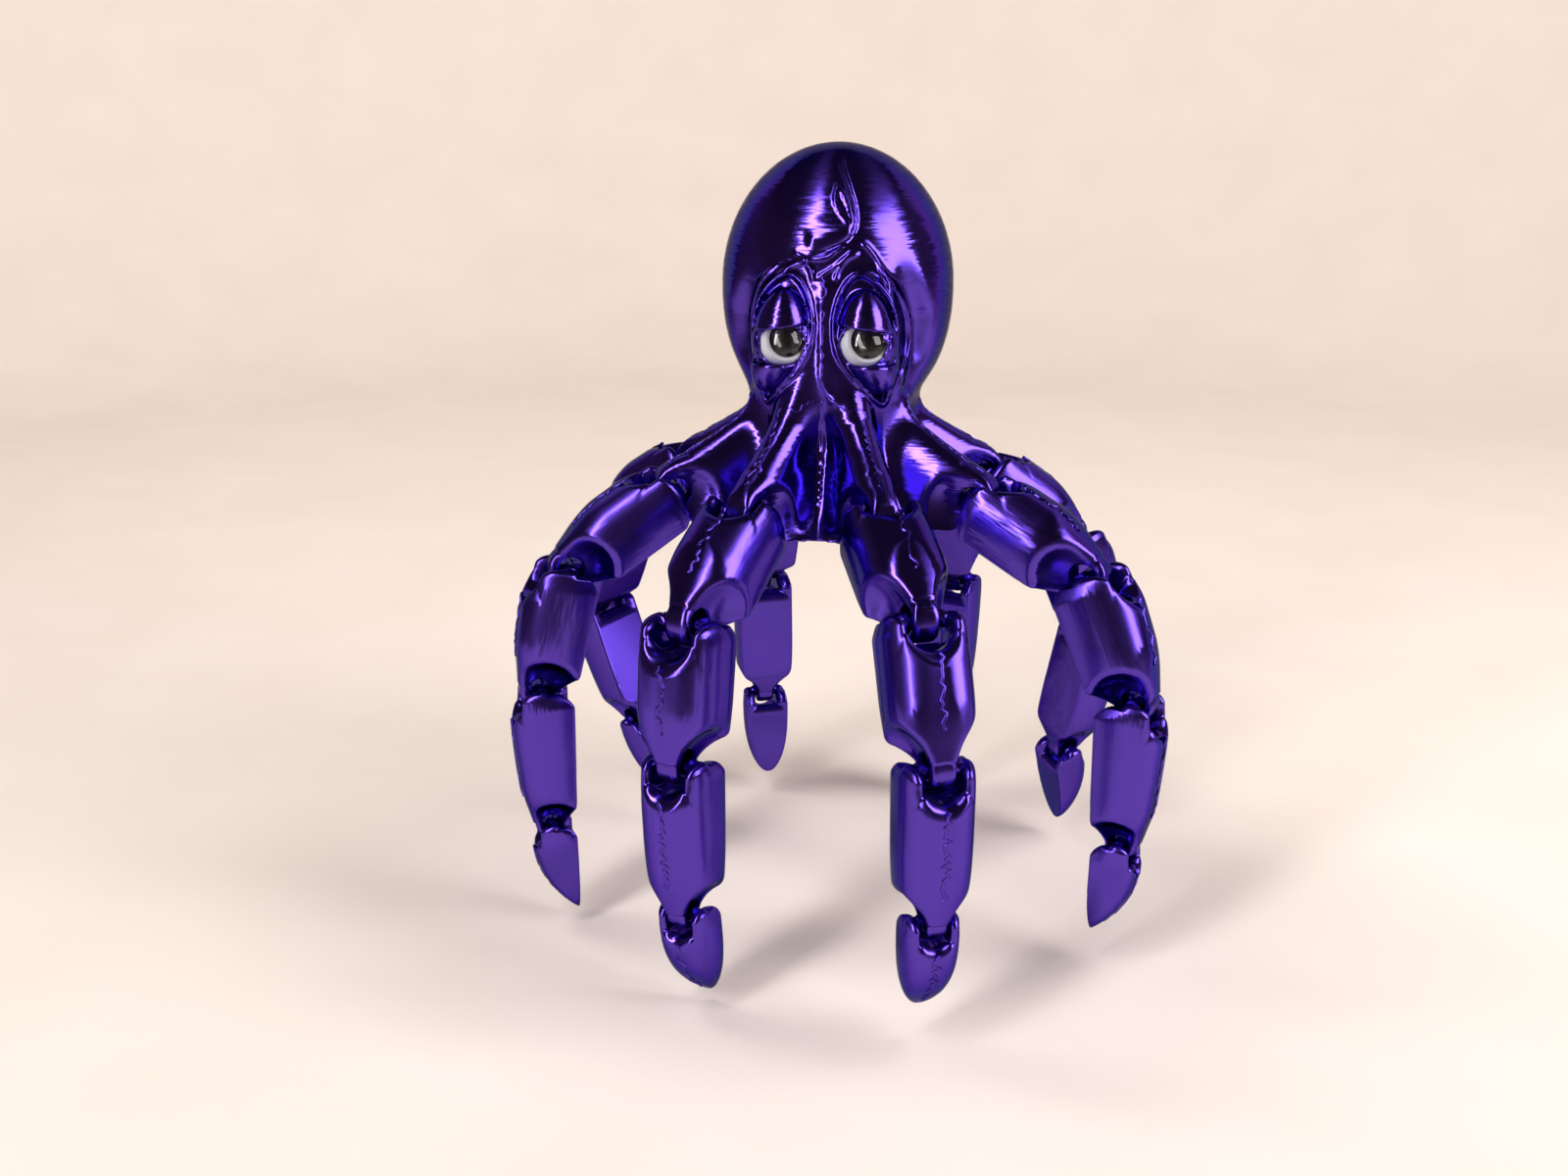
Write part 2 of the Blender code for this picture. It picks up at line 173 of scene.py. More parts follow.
print("points are pulled to the surface in", PULL_STEPS, "steps")


# %% Skin a field with quads
def skin(field, low, high, step):
    """Points and quads of the closed surface where the field is zero."""
    axes = [np.arange(l, h + step, step, dtype=np.float32) for l, h in zip(low, high)]
    values = sample(field, axes)
    inside = values < 0
    near, far = slice(None, -1), slice(1, None)
    corners = [(i, j, k) for i in (near, far) for j in (near, far) for k in (near, far)]
    count = sum(inside[corner].astype(np.int8) for corner in corners)
    crossed = (count > 0) & (count < len(corners))
    cells = np.argwhere(crossed)
    index = np.full(crossed.shape, -1, np.int64)
    index[crossed] = np.arange(len(cells))
    total, hits = np.zeros((len(cells), 3)), np.zeros(len(cells))
    for axis in range(3):
        for j in (0, 1):
            for k in (0, 1):
                start = np.zeros(3, int)
                start[(axis + 1) % 3], start[(axis + 2) % 3] = j, k
                end = start.copy()
                end[axis] = 1
                a = values[tuple((cells + start).T)]
                b = values[tuple((cells + end).T)]
                cut = (a < 0) != (b < 0)
                share = np.where(cut, a / np.where(cut, a - b, 1), 0)
                point = start + share[:, None] * (end - start)
                total += np.where(cut[:, None], point, 0)
                hits += cut
    origin = np.array([axis[0] for axis in axes])
    points = origin + step * (cells + total / hits[:, None])
    quads = []
    for axis in range(3):
        order = (axis, (axis + 1) % 3, (axis + 2) % 3)
        solid = np.transpose(inside, order)
        ring = np.transpose(index, order)
        here, there = solid[:-1, 1:-1, 1:-1], solid[1:, 1:-1, 1:-1]
        around = [ring[:, :-1, :-1], ring[:, 1:, :-1], ring[:, 1:, 1:], ring[:, :-1, 1:]]
        for turn, mask in ((1, here & ~there), (-1, ~here & there)):
            quads.append(np.stack([cell[mask] for cell in around[::turn]], axis=1))
    return pull_to_surface(field, points.astype(np.float32), step), np.concatenate(quads)


def refine(field, points, quads, chosen, step):
    """Split each chosen quad in four, and give its neighbours the new points on the edges they share."""
    middles, added = {}, []

    def middle(a, b):
        key = (min(a, b), max(a, b))
        if key not in middles:
            middles[key] = len(points) + len(added)
            added.append((points[a] + points[b]) / 2)
        return middles[key]

    faces = []
    for quad in quads[chosen].tolist():
        sides = [middle(a, b) for a, b in zip(quad, quad[1:] + quad[:1])]
        centre = len(points) + len(added)
        added.append(points[quad].mean(0))
        faces += [(corner, sides[i], centre, sides[i - 1]) for i, corner in enumerate(quad)]
    for quad in quads[~chosen].tolist():
        face = []
        for a, b in zip(quad, quad[1:] + quad[:1]):
            face.append(a)
            if (min(a, b), max(a, b)) in middles:
                face.append(middles[min(a, b), max(a, b)])
        faces.append(face)
    return pull_to_surface(field, np.vstack((points, added)).astype(np.float32), step / 2), faces


def mesh_from(name, points, faces):
    mesh = bpy.data.meshes.new(name)
    mesh.from_pydata((points * MM).tolist(), [], faces)
    mesh.shade_smooth()
    print(name, len(points), "points", sum(len(face) - 2 for face in faces), "triangles")
    return mesh


print("helpers:", skin.__name__, refine.__name__, mesh_from.__name__)

# %% [markdown]
# ## Curves drawn on the face
# The folds of the face are drawn as the eye sees them from the front: each is a smooth curve through a few
# points across and up, in millimetres. A fold raises or sinks the surface by a bell-shaped amount that fades
# with the distance from its curve. Loops of edges in the mesh would do it too, but moving such a fold means
# modelling it again, and here it means moving a few points.

# %% Curves and folds
CURVE_STEPS, FOLD_FADE = 6, 0.15


def curve(points, closed=False):
    """A smooth curve through points, as many short straight runs."""
    points = np.array(points, np.float32)
    if closed:
        padded = np.vstack((points[-1], points, points[:2]))
    else:
        padded = np.vstack((2 * points[0] - points[1], points, 2 * points[-1] - points[-2]))
    share = (np.arange(CURVE_STEPS, dtype=np.float32) / CURVE_STEPS)[:, None]
    runs = []
    for a, b, c, d in zip(padded, padded[1:], padded[2:], padded[3:]):
        runs.append(
            b + share * (c - a) / 2 + share**2 * (a - 2.5 * b + 2 * c - d / 2)
            + share**3 * (1.5 * (b - c) + (d - a) / 2)
        )
    runs.append(padded[-2:-1])
    return np.vstack(runs)


def curve_gap(across, up, path):
    """Distance to a curve, and the share of its length at the nearest place."""
    best = np.full_like(across, np.inf)
    place = np.zeros_like(across)
    for number, (start, end) in enumerate(zip(path, path[1:])):
        run = end - start
        share = ((across - start[0]) * run[0] + (up - start[1]) * run[1]) / max(float(run @ run), TINY)
        share = np.clip(share, 0.0, 1.0)
        gap = np.hypot(across - start[0] - share * run[0], up - start[1] - share * run[1])
        place = np.where(gap < best, (number + share) / (len(path) - 1), place)
        best = np.minimum(best, gap)
    return best, place


def inside_curve(across, up, path):
    """Whether each point lies within a closed curve: an odd count of crossings to one side says so."""
    inside = np.zeros(across.shape, bool)
    for start, end in zip(path, path[1:]):
        spans = (start[1] > up) != (end[1] > up)
        rise = end[1] - start[1]
        if rise:
            inside ^= spans & (across < start[0] + (up - start[1]) / rise * (end[0] - start[0]))
    return inside


def fold(across, up, path, height, width):
    """A raised or sunk line that dies away towards both ends of its curve."""
    gap, place = curve_gap(across, up, path)
    ends = np.clip(np.minimum(place, 1 - place) / FOLD_FADE, 0.0, 1.0)
    return height * np.exp(-((gap / width) ** 2)) * ends * ends * (3 - 2 * ends)


print("each curve has", CURVE_STEPS, "short runs between its points")

# %% [markdown]
# ## The head
# On the real toy the head, the skirt and the eight spokes are one print. The mantle is a bag that is fuller
# below, the face is a narrow shield in front of it with two brows, and a neck flares into the skirt. All
# eight spokes are alike, so the space round the axis is folded into one sector and a single spoke is drawn.

# %% Sizes of the head
MANTLE_CENTRE, MANTLE_RADII, MANTLE_FULLNESS = (0.0, 12.0, 57.5), (30.0, 31.0, 35.5), 2.3
FACE_CENTRE, FACE_RADII = (0.0, -5.0, 43.0), (18.6, 15.6, 25.0)
BROW_CENTRE, BROW_RADII = (9.6, -13.6, 49.0), (8.4, 7.6, 15.0)
EYE_CENTRE, EYE_RADIUS, EYE_CLEARANCE = (9.9, -19.5, 46.5), 6.0, 0.15
NECK_RADIUS, FLARE, FLARE_DROP, FLARE_FOOT, NECK_TOP, NECK_ROUND = 18.5, 15.0, 8.5, -2.0, 40.0, 6.0
SPOKE_COUNT = 8
SPOKE_STEP = 2 * math.pi / SPOKE_COUNT
BAR_REACH, BAR_HEIGHT = 42.2, 8.0
SPOKE_RIDGE = ((6, 40), (13, 34), (20.5, 28.9), (27, 24.4), (33.7, 20.3), (41, 16.4), (46, 14.0))
SPOKE_HALF_WIDTH = ((5, 7), (20, 8.5), (32, 7.6), (40, 6.4), (46, 4.6))
SPOKE_POWER = ((8, 1.35), (22, 1.6), (34, 3.0), (40, 4.5))
SPOKE_UNDER = ((34, -3.0), (36.5, -0.6), (39, 0.9), (41.5, 2.3))
NOSE_BACK, NOSE_RADIUS, NOSE_HALF, HOLE_RADIUS = 0.7, 5.7, 2.9, 3.3
SPOKE_END_CENTRE, SPOKE_END_RADIUS, SPOKE_END_ROUND = 38.2, 9.0, 1.0
BOWL_RADIUS, BOWL_OVER, SPOKE_BOWL_HALF = 12.0, 0.5, 10.7
ARCH_SLOPE_FLOOR = 0.1
print("mantle", [2 * radius for radius in MANTLE_RADII], "mm, bars", BAR_REACH, "mm from the axis")


# %% Masses of the head
def mantle(x, y, z):
    """The bag of the head, round above and fuller below."""
    qx, qy, qz = ((v - c) / r for v, c, r in zip((x, y, z), MANTLE_CENTRE, MANTLE_RADII))
    power = np.where(qz < 0, MANTLE_FULLNESS, 2.0)
    reach = (np.hypot(qx, qy) ** power + np.abs(qz) ** power) ** (1 / power)
    return (reach - 1) * np.mean(MANTLE_RADII)


def neck(x, y, z):
    """A stem that flares into the skirt."""
    flare = FLARE * np.exp(-np.maximum(z, FLARE_FOOT) / FLARE_DROP)
    slope = flare / FLARE_DROP
    wall = (np.hypot(x, y) - NECK_RADIUS - flare) / np.sqrt(1 + slope * slope)
    return smooth_meet(wall, z - NECK_TOP, NECK_ROUND)


def bowls(along, across, up, bar_x, bar_z, half_width, nose_half, size):
    """The two round hollows beside a nose, where the next link's ears swing."""
    middle = half_width + BOWL_OVER
    radii = (BOWL_RADIUS * size, middle - nose_half, BOWL_RADIUS * size)
    return ellipsoid(along, np.abs(across), up, (bar_x, middle, bar_z), radii)


def arch(across, up, half_width, height, side_power, power):
    """A ridge over a flat foot: round at low powers, boxy at high ones."""
    side = np.abs(across) / half_width
    rise = np.maximum(up, 0.0) / height
    value = side**side_power + rise**power - 1
    side_slope = side_power * side ** (side_power - 1) / half_width
    rise_slope = power * rise ** (power - 1) / height
    return value / np.maximum(np.hypot(side_slope, rise_slope), ARCH_SLOPE_FLOOR)


def spokes(x, y, z):
    """All eight spokes, the hollows beside their noses and the cross holes through them."""
    reach = np.hypot(x, y)
    turn = np.mod(np.arctan2(x, -y), SPOKE_STEP) - SPOKE_STEP / 2
    along, across = reach * np.cos(turn), reach * np.sin(turn)
    ridge, width, power = (ease(along, row) for row in (SPOKE_RIDGE, SPOKE_HALF_WIDTH, SPOKE_POWER))
    solid = arch(across, z, width, ridge, 2.0, power)
    end = np.hypot(np.maximum(along - SPOKE_END_CENTRE, 0.0), z - BAR_HEIGHT) - SPOKE_END_RADIUS
    end = np.where(along > SPOKE_END_CENTRE, end, -SPOKE_END_RADIUS)
    low_end = np.hypot(along - BAR_REACH + NOSE_BACK, z - BAR_HEIGHT) - NOSE_RADIUS
    low_end = np.where((along > BAR_REACH) & (z < BAR_HEIGHT), low_end, -NOSE_RADIUS)
    solid = smooth_meet(solid, np.maximum(end, low_end), SPOKE_END_ROUND)
    solid = np.maximum(solid, np.interp(along, *zip(*SPOKE_UNDER)).astype(np.float32) - z)
    hollow = bowls(along, across, z, BAR_REACH, BAR_HEIGHT, SPOKE_BOWL_HALF, NOSE_HALF, 1.0)
    hole = np.hypot(along - BAR_REACH + NOSE_BACK, z - BAR_HEIGHT) - HOLE_RADIUS
    return solid, hollow, hole


print(SPOKE_COUNT, "spokes from one drawn sector")

# %% [markdown]
# ## Relief of the face
# The brows, the wrinkles between them, the rims round the eyes and the crest of the nose all show on the
# real print as sharp bright lines. A sculptor would carve them with a brush. Here they are folds on the
# melted masses, because a drawn curve is easy to move, and each eye rim also sinks what it encloses.

# %% Folds of the face, across and up from the front
EYE_RIM = curve(
    ((8.5, 63), (13.2, 60.6), (16.6, 55.5), (18, 48.5), (17.6, 41), (16.2, 35.5), (14.6, 31.2), (11.4, 34.6),
     (7.6, 38.6), (4.4, 43), (2.7, 48.5), (2.9, 54.5), (5, 60.2)),
    closed=True,
)
CREASE = curve(
    ((1.6, 93), (2, 88.6), (4.6, 83), (6.7, 77.6), (6.8, 73.2), (4.6, 70.5), (0.7, 68.7), (-4.8, 67))
)
ALMOND = curve(((2, 83.4), (1.7, 80), (3.4, 76.6), (6.2, 74.4), (5.4, 77.5), (3.8, 80.8), (2, 83.4)))
# Each fold is a curve, its height and its width. Lone folds lie as drawn, and paired ones on both sides.
LONE_FOLDS = (
    (CREASE, -0.55, 0.5),
    (curve(((6.6, 74), (3.4, 72.6), (0, 71.6), (-5.5, 70.6))), 0.6, 1.8),
    (curve(((4.8, 70), (2.2, 68.2), (-0.5, 66.6), (-7.5, 66.6))), 0.55, 0.6),
    (curve(((7.2, 69), (4.4, 66.6), (1.8, 64.4), (-2.8, 61.5))), 0.5, 0.5),
    (curve(((8, 71), (11.5, 67.5), (15.4, 60.5), (18.6, 49))), 0.8, 0.6),
    (curve(((-2.8, 67), (-10.1, 63.6), (-15.7, 57.6), (-19.4, 46.8))), 0.8, 0.7),
    (curve(((0, 61), (-0.2, 52), (0.1, 44), (0.2, 38), (2, 34.4), (5.4, 32))), 0.6, 1.3),
    (curve(((0, 29), (0.1, 20), (0, 12), (0.1, 4))), 0.5, 0.4),
)
PAIRED_FOLDS = (
    (curve(((10.5, 66), (15.8, 61.4), (19.2, 54), (20.2, 46), (19, 38), (17, 31))), 0.6, 0.6),
    (curve(((2.6, 61), (3.4, 64), (5.4, 66.6), (8.5, 68.2))), 0.6, 0.6),
)
RIM_HEIGHT, RIM_WIDTH, RIM_SINK, RIM_SINK_WIDTH = 0.85, 0.6, 0.8, 1.6
ALMOND_HEIGHT, ALMOND_WIDTH = 0.3, 0.5
FACE_BACK, FACE_FADE = 4.0, 10.0


def face_relief(x, y, z):
    """How far the folds raise the front of the head at each point."""
    front = np.clip((FACE_BACK - y) / FACE_FADE, 0.0, 1.0)
    raised = np.zeros_like(x)
    for path, height, width in LONE_FOLDS:
        raised += fold(x, z, path, height, width)
    for path, height, width in PAIRED_FOLDS:
        raised += fold(np.abs(x), z, path, height, width)
    gap, _ = curve_gap(np.abs(x), z, EYE_RIM)
    raised += RIM_HEIGHT * np.exp(-((gap / RIM_WIDTH) ** 2))
    sunk = np.where(inside_curve(np.abs(x), z, EYE_RIM), np.clip(gap / RIM_SINK_WIDTH, 0.0, 1.0), 0.0)
    raised -= RIM_SINK * sunk * sunk * (3 - 2 * sunk)
    gap, _ = curve_gap(x, z, ALMOND)
    raised += ALMOND_HEIGHT * np.exp(-((gap / ALMOND_WIDTH) ** 2))
    return raised * front


print(len(LONE_FOLDS), "lone folds and", len(PAIRED_FOLDS), "paired ones, with eye rims and an almond")

# %% Lids, muzzle and gills
UPPER_LID_RADII, UPPER_LID_EDGE = (7.2, 7.3, 13.0), 4.2
LOWER_LID_RADII, LOWER_LID_EDGE, LOWER_LID_LEAN = (6.7, 7.0, 12.0), -4.7, 0.35
LID_SLANT = 0.14
# Each station of the muzzle and of a gill is a point and a radius there.
MUZZLE = (
    ((0.6, -17.0, 58), 2.8), ((1.6, -17.3, 49), 3.3), ((3.2, -17.6, 41), 4.2), ((5.6, -18.6, 34), 4.8),
    ((8.2, -21.6, 26.4), 4.5), ((11.2, -27.5, 20.2), 3.8), ((13.8, -33.5, 15.4), 3.0),
)
MUZZLE_SOFT, MUZZLE_BLEND = 2.0, 3.5
EYE_MOUND_BACK, EYE_MOUND_RADII = 1.6, (8.0, 6.8, 8.2)
GILL = (
    ((21.0, -14.5, 68), 1.2), ((21.2, -12.6, 59), 3.2), ((23.8, -9.8, 50), 5.4), ((23.4, -8.8, 42), 5.6),
    ((20.8, -7.8, 34.5), 3.6),
)
GILL_BLEND = 4.0
FACE_BLEND, BROW_BLEND, NECK_BLEND, SPOKE_BLEND, MOUND_BLEND, LID_BLEND = 5.0, 3.0, 8.0, 5.0, 1.6, 0.8
LID_ROUND, SOCKET_ROUND, HOLLOW_ROUND, HOLE_ROUND = 0.5, 0.4, 1.2, 0.4
NEAR_SURFACE = 3.5


def lids(x, y, z):
    """Upper and lower lid of the right-hand eye, as seen: caps of a slightly larger ball."""
    across, up = x - EYE_CENTRE[0], z - EYE_CENTRE[2]
    upper = ellipsoid(x, y, z, EYE_CENTRE, UPPER_LID_RADII)
    upper = smooth_meet(upper, UPPER_LID_EDGE - LID_SLANT * across - up, LID_ROUND)
    leant = x - LOWER_LID_LEAN * np.maximum(-up, 0.0)
    lower = ellipsoid(leant, y, z, EYE_CENTRE, LOWER_LID_RADII)
    lower = smooth_meet(lower, up - LOWER_LID_EDGE, LID_ROUND)
    return np.minimum(upper, lower)


print("lids for eyes of", 2 * EYE_RADIUS, "mm")


# %% The whole head
def head(x, y, z):
    """Masses first, then the folds, and last the eyes' sockets and the hinges' hollows and holes."""
    mirrored = np.abs(x)
    solid = smooth_join(mantle(x, y, z), ellipsoid(x, y, z, FACE_CENTRE, FACE_RADII), FACE_BLEND)
    solid = smooth_join(solid, ellipsoid(mirrored, y, z, BROW_CENTRE, BROW_RADII), BROW_BLEND)
    solid = smooth_cut(solid, chain(mirrored, y, z, GILL), GILL_BLEND)
    solid = smooth_join(solid, neck(x, y, z), NECK_BLEND)
    spoke, hollow, hole = spokes(x, y, z)
    solid = smooth_join(solid, spoke, SPOKE_BLEND)
    softened = np.sqrt(x * x + MUZZLE_SOFT * MUZZLE_SOFT)
    solid = smooth_join(solid, chain(softened, y, z, MUZZLE), MUZZLE_BLEND)
    near = np.flatnonzero((np.abs(solid) < NEAR_SURFACE) & (y < FACE_BACK))
    if len(near):
        solid[near] -= face_relief(x[near], y[near], z[near])
    mound_centre = (EYE_CENTRE[0], EYE_CENTRE[1] + EYE_MOUND_BACK, EYE_CENTRE[2])
    solid = smooth_join(solid, ellipsoid(mirrored, y, z, mound_centre, EYE_MOUND_RADII), MOUND_BLEND)
    solid = smooth_join(solid, lids(mirrored, y, z), LID_BLEND)
    socket = EYE_RADIUS + EYE_CLEARANCE
    solid = smooth_cut(solid, ellipsoid(mirrored, y, z, EYE_CENTRE, (socket,) * 3), SOCKET_ROUND)
    solid = smooth_cut(solid, hollow, HOLLOW_ROUND)
    solid = smooth_cut(solid, hole, HOLE_ROUND)
    return np.maximum(solid, -z)


HEAD_STEP = 0.82
HEAD_LOW, HEAD_HIGH = (-49.0, -49.0, -1.2), (49.0, 49.0, 94.0)
FINE_BACK, FINE_SIDE, FINE_LOW = -4.0, 21.0, 27.0
head_points, head_quads = skin(head, HEAD_LOW, HEAD_HIGH, HEAD_STEP)
x, y, z = head_points.T
on_face = (y < FINE_BACK) & (np.abs(x) < FINE_SIDE) & (z > FINE_LOW)
head_points, head_faces = refine(head, head_points, head_quads, on_face[head_quads].all(1), HEAD_STEP)
head_mesh = mesh_from("printed_head", head_points, head_faces)

# %% [markdown]
# ## The links
# Every link is printed flat: its underside lies on the bed, its section is a boxy arch, its inner end is a
# cup with two ears and a cross bar, and its outer end is a nose between two round hollows. Each could be
# modelled by hand, but the four links of an arm differ only in size, so one field with a few sizes draws them
# all, each about its own bar.

# %% Sizes of the links, from the body outwards
LINK_NAMES = ("upper_link", "middle_link", "lower_link", "tip")
LINK_LENGTHS = (33.6, 33.0, 38.0, 26.2)
LINK_WIDTHS = (21.4, 21.0, 18.4, 14.4)
LINK_HEIGHTS = (18.6, 19.0, 17.0, 12.5)
BAR_HEIGHTS = (8.0, 7.6, 8.4, 6.2)
JOINT_SCALES = (1.0, 1.0, 0.9, 0.75)
BAR_RADIUS, EAR_RADIUS, LIP_THICKNESS = 2.0, 2.4, 5.6
CUP_RIM, CUP_SHOULDER, CUP_REACH, CUP_FLOOR = 1.5, 3.7, 7.4, 1.5
POCKET_RADIUS, NOTCH_REACH, NOSE_TAPER, RIDGE_TAPER = 6.6, 4.0, 8.0, 16.0
SIDE_POWER, ARCH_POWER, FOOT_DRAW, RIDGE_SPARE, LIP_LEAN = 2.9, 3.2, 0.09, 1.15, 1.6
LIP_ROUND, CUP_ROUND, BOWL_ROUND, LINK_BOWL = 3.0, 4.4, 2.4, 0.9
POCKET_BLEND, NOTCH_BLEND, BAR_BLEND, FOOT_ROUND, FOOT_POWER, NOSE_ROUND = 1.0, 0.6, 0.8, 0.5, 4, 0.8
RIM_LOW, EAR_DRAW, BAR_DRAW, FULL_WIDTH_AFTER, NOSE_CREST = 0.86, 0.8, 0.93, 2.5, 0.6
SNOUT_DRAW = ((0.5, 1.0), (0.76, 0.96), (0.9, 0.78), (1.0, 0.48))
TIP_SIDE_POWER, TIP_SIDE_ROOT, TIP_RIDGE_POWER, TIP_THINNEST, TIP_LOWEST = 3.0, 0.6, 2.4, 0.05, 0.4
WELL_INSIDE = -5.0
LINK_STEP, SKIN_MARGIN = 0.5, 1.5
print(len(LINK_NAMES), "kinds of link,", round(sum(LINK_LENGTHS), 1), "mm along an arm")


# %% The field of a link
def cup(x, y, z, gap, size):
    """The space that the nose before a link needs: a slot, a round pocket and a notch below the bar."""
    middle = size * CUP_REACH - gap
    slot = np.where(x < middle, np.abs(y), np.hypot(x - middle, y)) - gap
    slot = np.maximum(slot, -size * CUP_FLOOR - z)
    pocket = np.maximum(np.hypot(x, z) - size * POCKET_RADIUS, np.abs(y) - gap)
    notch = np.maximum(np.maximum(x - size * NOTCH_REACH, z), np.abs(y) - gap)
    return smooth_join(smooth_join(slot, pocket, POCKET_BLEND), notch, NOTCH_BLEND)


def link_outline(index, x):
    """Half width, low and high of the arch along a link."""
    size, length, half = JOINT_SCALES[index], LINK_LENGTHS[index], LINK_WIDTHS[index] / 2
    low = -BAR_HEIGHTS[index]
    high = low + LINK_HEIGHTS[index] - RIDGE_SPARE
    ear, rim, shoulder = size * EAR_RADIUS, size * CUP_RIM, size * CUP_SHOULDER
    lows = [(-ear, -ear), (rim, RIM_LOW * low), (shoulder, low)]
    highs = [(-ear, high), (shoulder, high)]
    widths = [(-ear, EAR_DRAW * half), (0, BAR_DRAW * half), (rim + FULL_WIDTH_AFTER, half)]
    if index + 1 < len(LINK_NAMES):
        after = JOINT_SCALES[index + 1]
        bar_z = low + BAR_HEIGHTS[index + 1]
        start, end = length - after * NOSE_TAPER, length - after * NOSE_BACK
        lows += [(start, low), (end, bar_z - after * NOSE_RADIUS)]
        ridge_end = length - after * RIDGE_TAPER
        fall = (LINK_HEIGHTS[index] - LINK_HEIGHTS[index + 1]) / 2
        fall = fall * (ridge_end - shoulder) / (start - shoulder)
        highs += [(ridge_end, high - fall), (end, bar_z + after * NOSE_RADIUS + NOSE_CREST)]
        widths += [(share * length, draw * half) for share, draw in SNOUT_DRAW]
        return ease(x, widths), ease(x, lows), ease(x, highs)
    share = np.clip((x - shoulder) / (length - shoulder), 0.0, 1.0)
    draw = np.maximum(1 - share**TIP_SIDE_POWER, 0.0) ** TIP_SIDE_ROOT
    drop = (high - low) * share**TIP_RIDGE_POWER
    width = ease(x, widths) * np.maximum(draw, TIP_THINNEST)
    return width, ease(x, lows), np.maximum(ease(x, highs) - drop, low + TIP_LOWEST)


def link(index):
    """The field of one kind of link about its own bar, along +x."""
    size, length, half = JOINT_SCALES[index], LINK_LENGTHS[index], LINK_WIDTHS[index] / 2
    gap = half - size * LIP_THICKNESS
    low = -BAR_HEIGHTS[index]

    def field(x, y, z):
        width, under, over = link_outline(index, x)
        rise = np.clip((z - under) / (over - under), 0.0, 1.0)
        width = width * (1 - FOOT_DRAW * (1 - rise) ** FOOT_POWER)
        solid = arch(y, z - under, width, over - under, SIDE_POWER, ARCH_POWER)
        solid = smooth_meet(solid, under - z, FOOT_ROUND)
        lip_high = low + LINK_HEIGHTS[index] - RIDGE_SPARE - size * EAR_RADIUS
        lip_x = size * LIP_LEAN * np.clip(z / lip_high, 0.0, 1.0)
        lip_end = np.hypot(x - lip_x, np.maximum(z - lip_high, np.minimum(z, 0.0))) - size * EAR_RADIUS
        solid = smooth_meet(solid, np.where(x < lip_x, lip_end, -size * EAR_RADIUS), size * LIP_ROUND)
        if index + 1 < len(LINK_NAMES):
            after = JOINT_SCALES[index + 1]
            bar_z = low + BAR_HEIGHTS[index + 1]
            nose_x = length - after * NOSE_BACK
            from_nose = np.hypot(x - nose_x, z - bar_z)
            nose_end = np.where(x > nose_x, from_nose - after * NOSE_RADIUS, WELL_INSIDE)
            solid = smooth_meet(solid, nose_end, NOSE_ROUND)
            hollow = bowls(x, y, z, length, bar_z, half, after * NOSE_HALF, after * LINK_BOWL)
            solid = smooth_cut(solid, hollow, after * BOWL_ROUND)
            solid = smooth_cut(solid, from_nose - after * HOLE_RADIUS, HOLE_ROUND)
        else:
            solid = np.maximum(solid, x - length)
        solid = smooth_cut(solid, cup(x, y, z, gap, size), size * CUP_ROUND)
        bar = np.maximum(np.hypot(x, z) - size * BAR_RADIUS, np.abs(y) - gap - size)
        return smooth_join(solid, bar, BAR_BLEND).astype(np.float32)

    return field


print("one field for links of", LINK_LENGTHS, "mm")


# %% Skin each kind of link once
def add_object(name, data):
    item = bpy.data.objects.new(name, data)
    bpy.context.scene.collection.objects.link(item)
    return item


def link_template(index):
    name = LINK_NAMES[index]
    half, low = LINK_WIDTHS[index] / 2 + SKIN_MARGIN, -BAR_HEIGHTS[index] - SKIN_MARGIN
    start = (-3 * SKIN_MARGIN, -half, low)
    end = (LINK_LENGTHS[index] + NOSE_RADIUS + SKIN_MARGIN, half, low + LINK_HEIGHTS[index] + 2 * SKIN_MARGIN)
    points, quads = skin(link(index), start, end, LINK_STEP)
    return add_object(f"template_{name}", mesh_from(name, points, quads.tolist()))


templates = [link_template(index) for index in range(len(LINK_NAMES))]

# %% [markdown]
# ## Silk-violet plastic
# The toy is printed in a "silk" polyester: PLA with a pearly filler that makes it shine like satin metal. The
# nozzle lays it down in thin layers, so the surface is a stack of fine grooves, and like brushed metal it
# spreads every highlight at right angles to them. Grooves as real geometry would take millions of faces. An
# anisotropic metallic shader gives the same spread highlights, and its tangent follows the direction in which
# each piece was built up. The layers also end a little unevenly, which frays the edges of every highlight.

# %% Colours and a node helper
def linear(code):
    """A hex sRGB colour as linear light, with full alpha."""
    channels = [int(code[i : i + 2], 16) / 255 for i in (1, 3, 5)]
    return (*[c / 12.92 if c <= 0.04045 else ((c + 0.055) / 1.055) ** 2.4 for c in channels], 1.0)


def add_node(tree, kind, links=(), inputs=(), **settings):
    """A node with its settings, its input values and its links, each an input name and an output socket."""
    node = tree.nodes.new(kind)
    for name, value in settings.items():
        setattr(node, name, value)
    for name, value in dict(inputs).items():
        node.inputs[name].default_value = value
    for name, socket in dict(links).items():
        tree.links.new(socket, node.inputs[name])
    return node


def new_material(name):
    material = bpy.data.materials.new(name)
    material.use_nodes = True
    tree = material.node_tree
    tree.nodes.clear()
    return material, tree


print("mid grey as linear light:", round(linear("#808080")[0], 3))

# %% The silk plastic
# Real layers are 0.2 mm thick. They are drawn 0.35 mm thick here so that they still show in the picture.
LAYER_PITCH_MM = 0.35
STREAK_LENGTH_MM = 6.0
# The tilt keeps the tangent off the normal where a face looks straight along the way it was built.
TANGENT_TILT = (0.021, 0.013, 0.0)
FRAY, FRAY_BUMP, FRAY_DEPTH_MM = 0.12, 0.1, 0.3


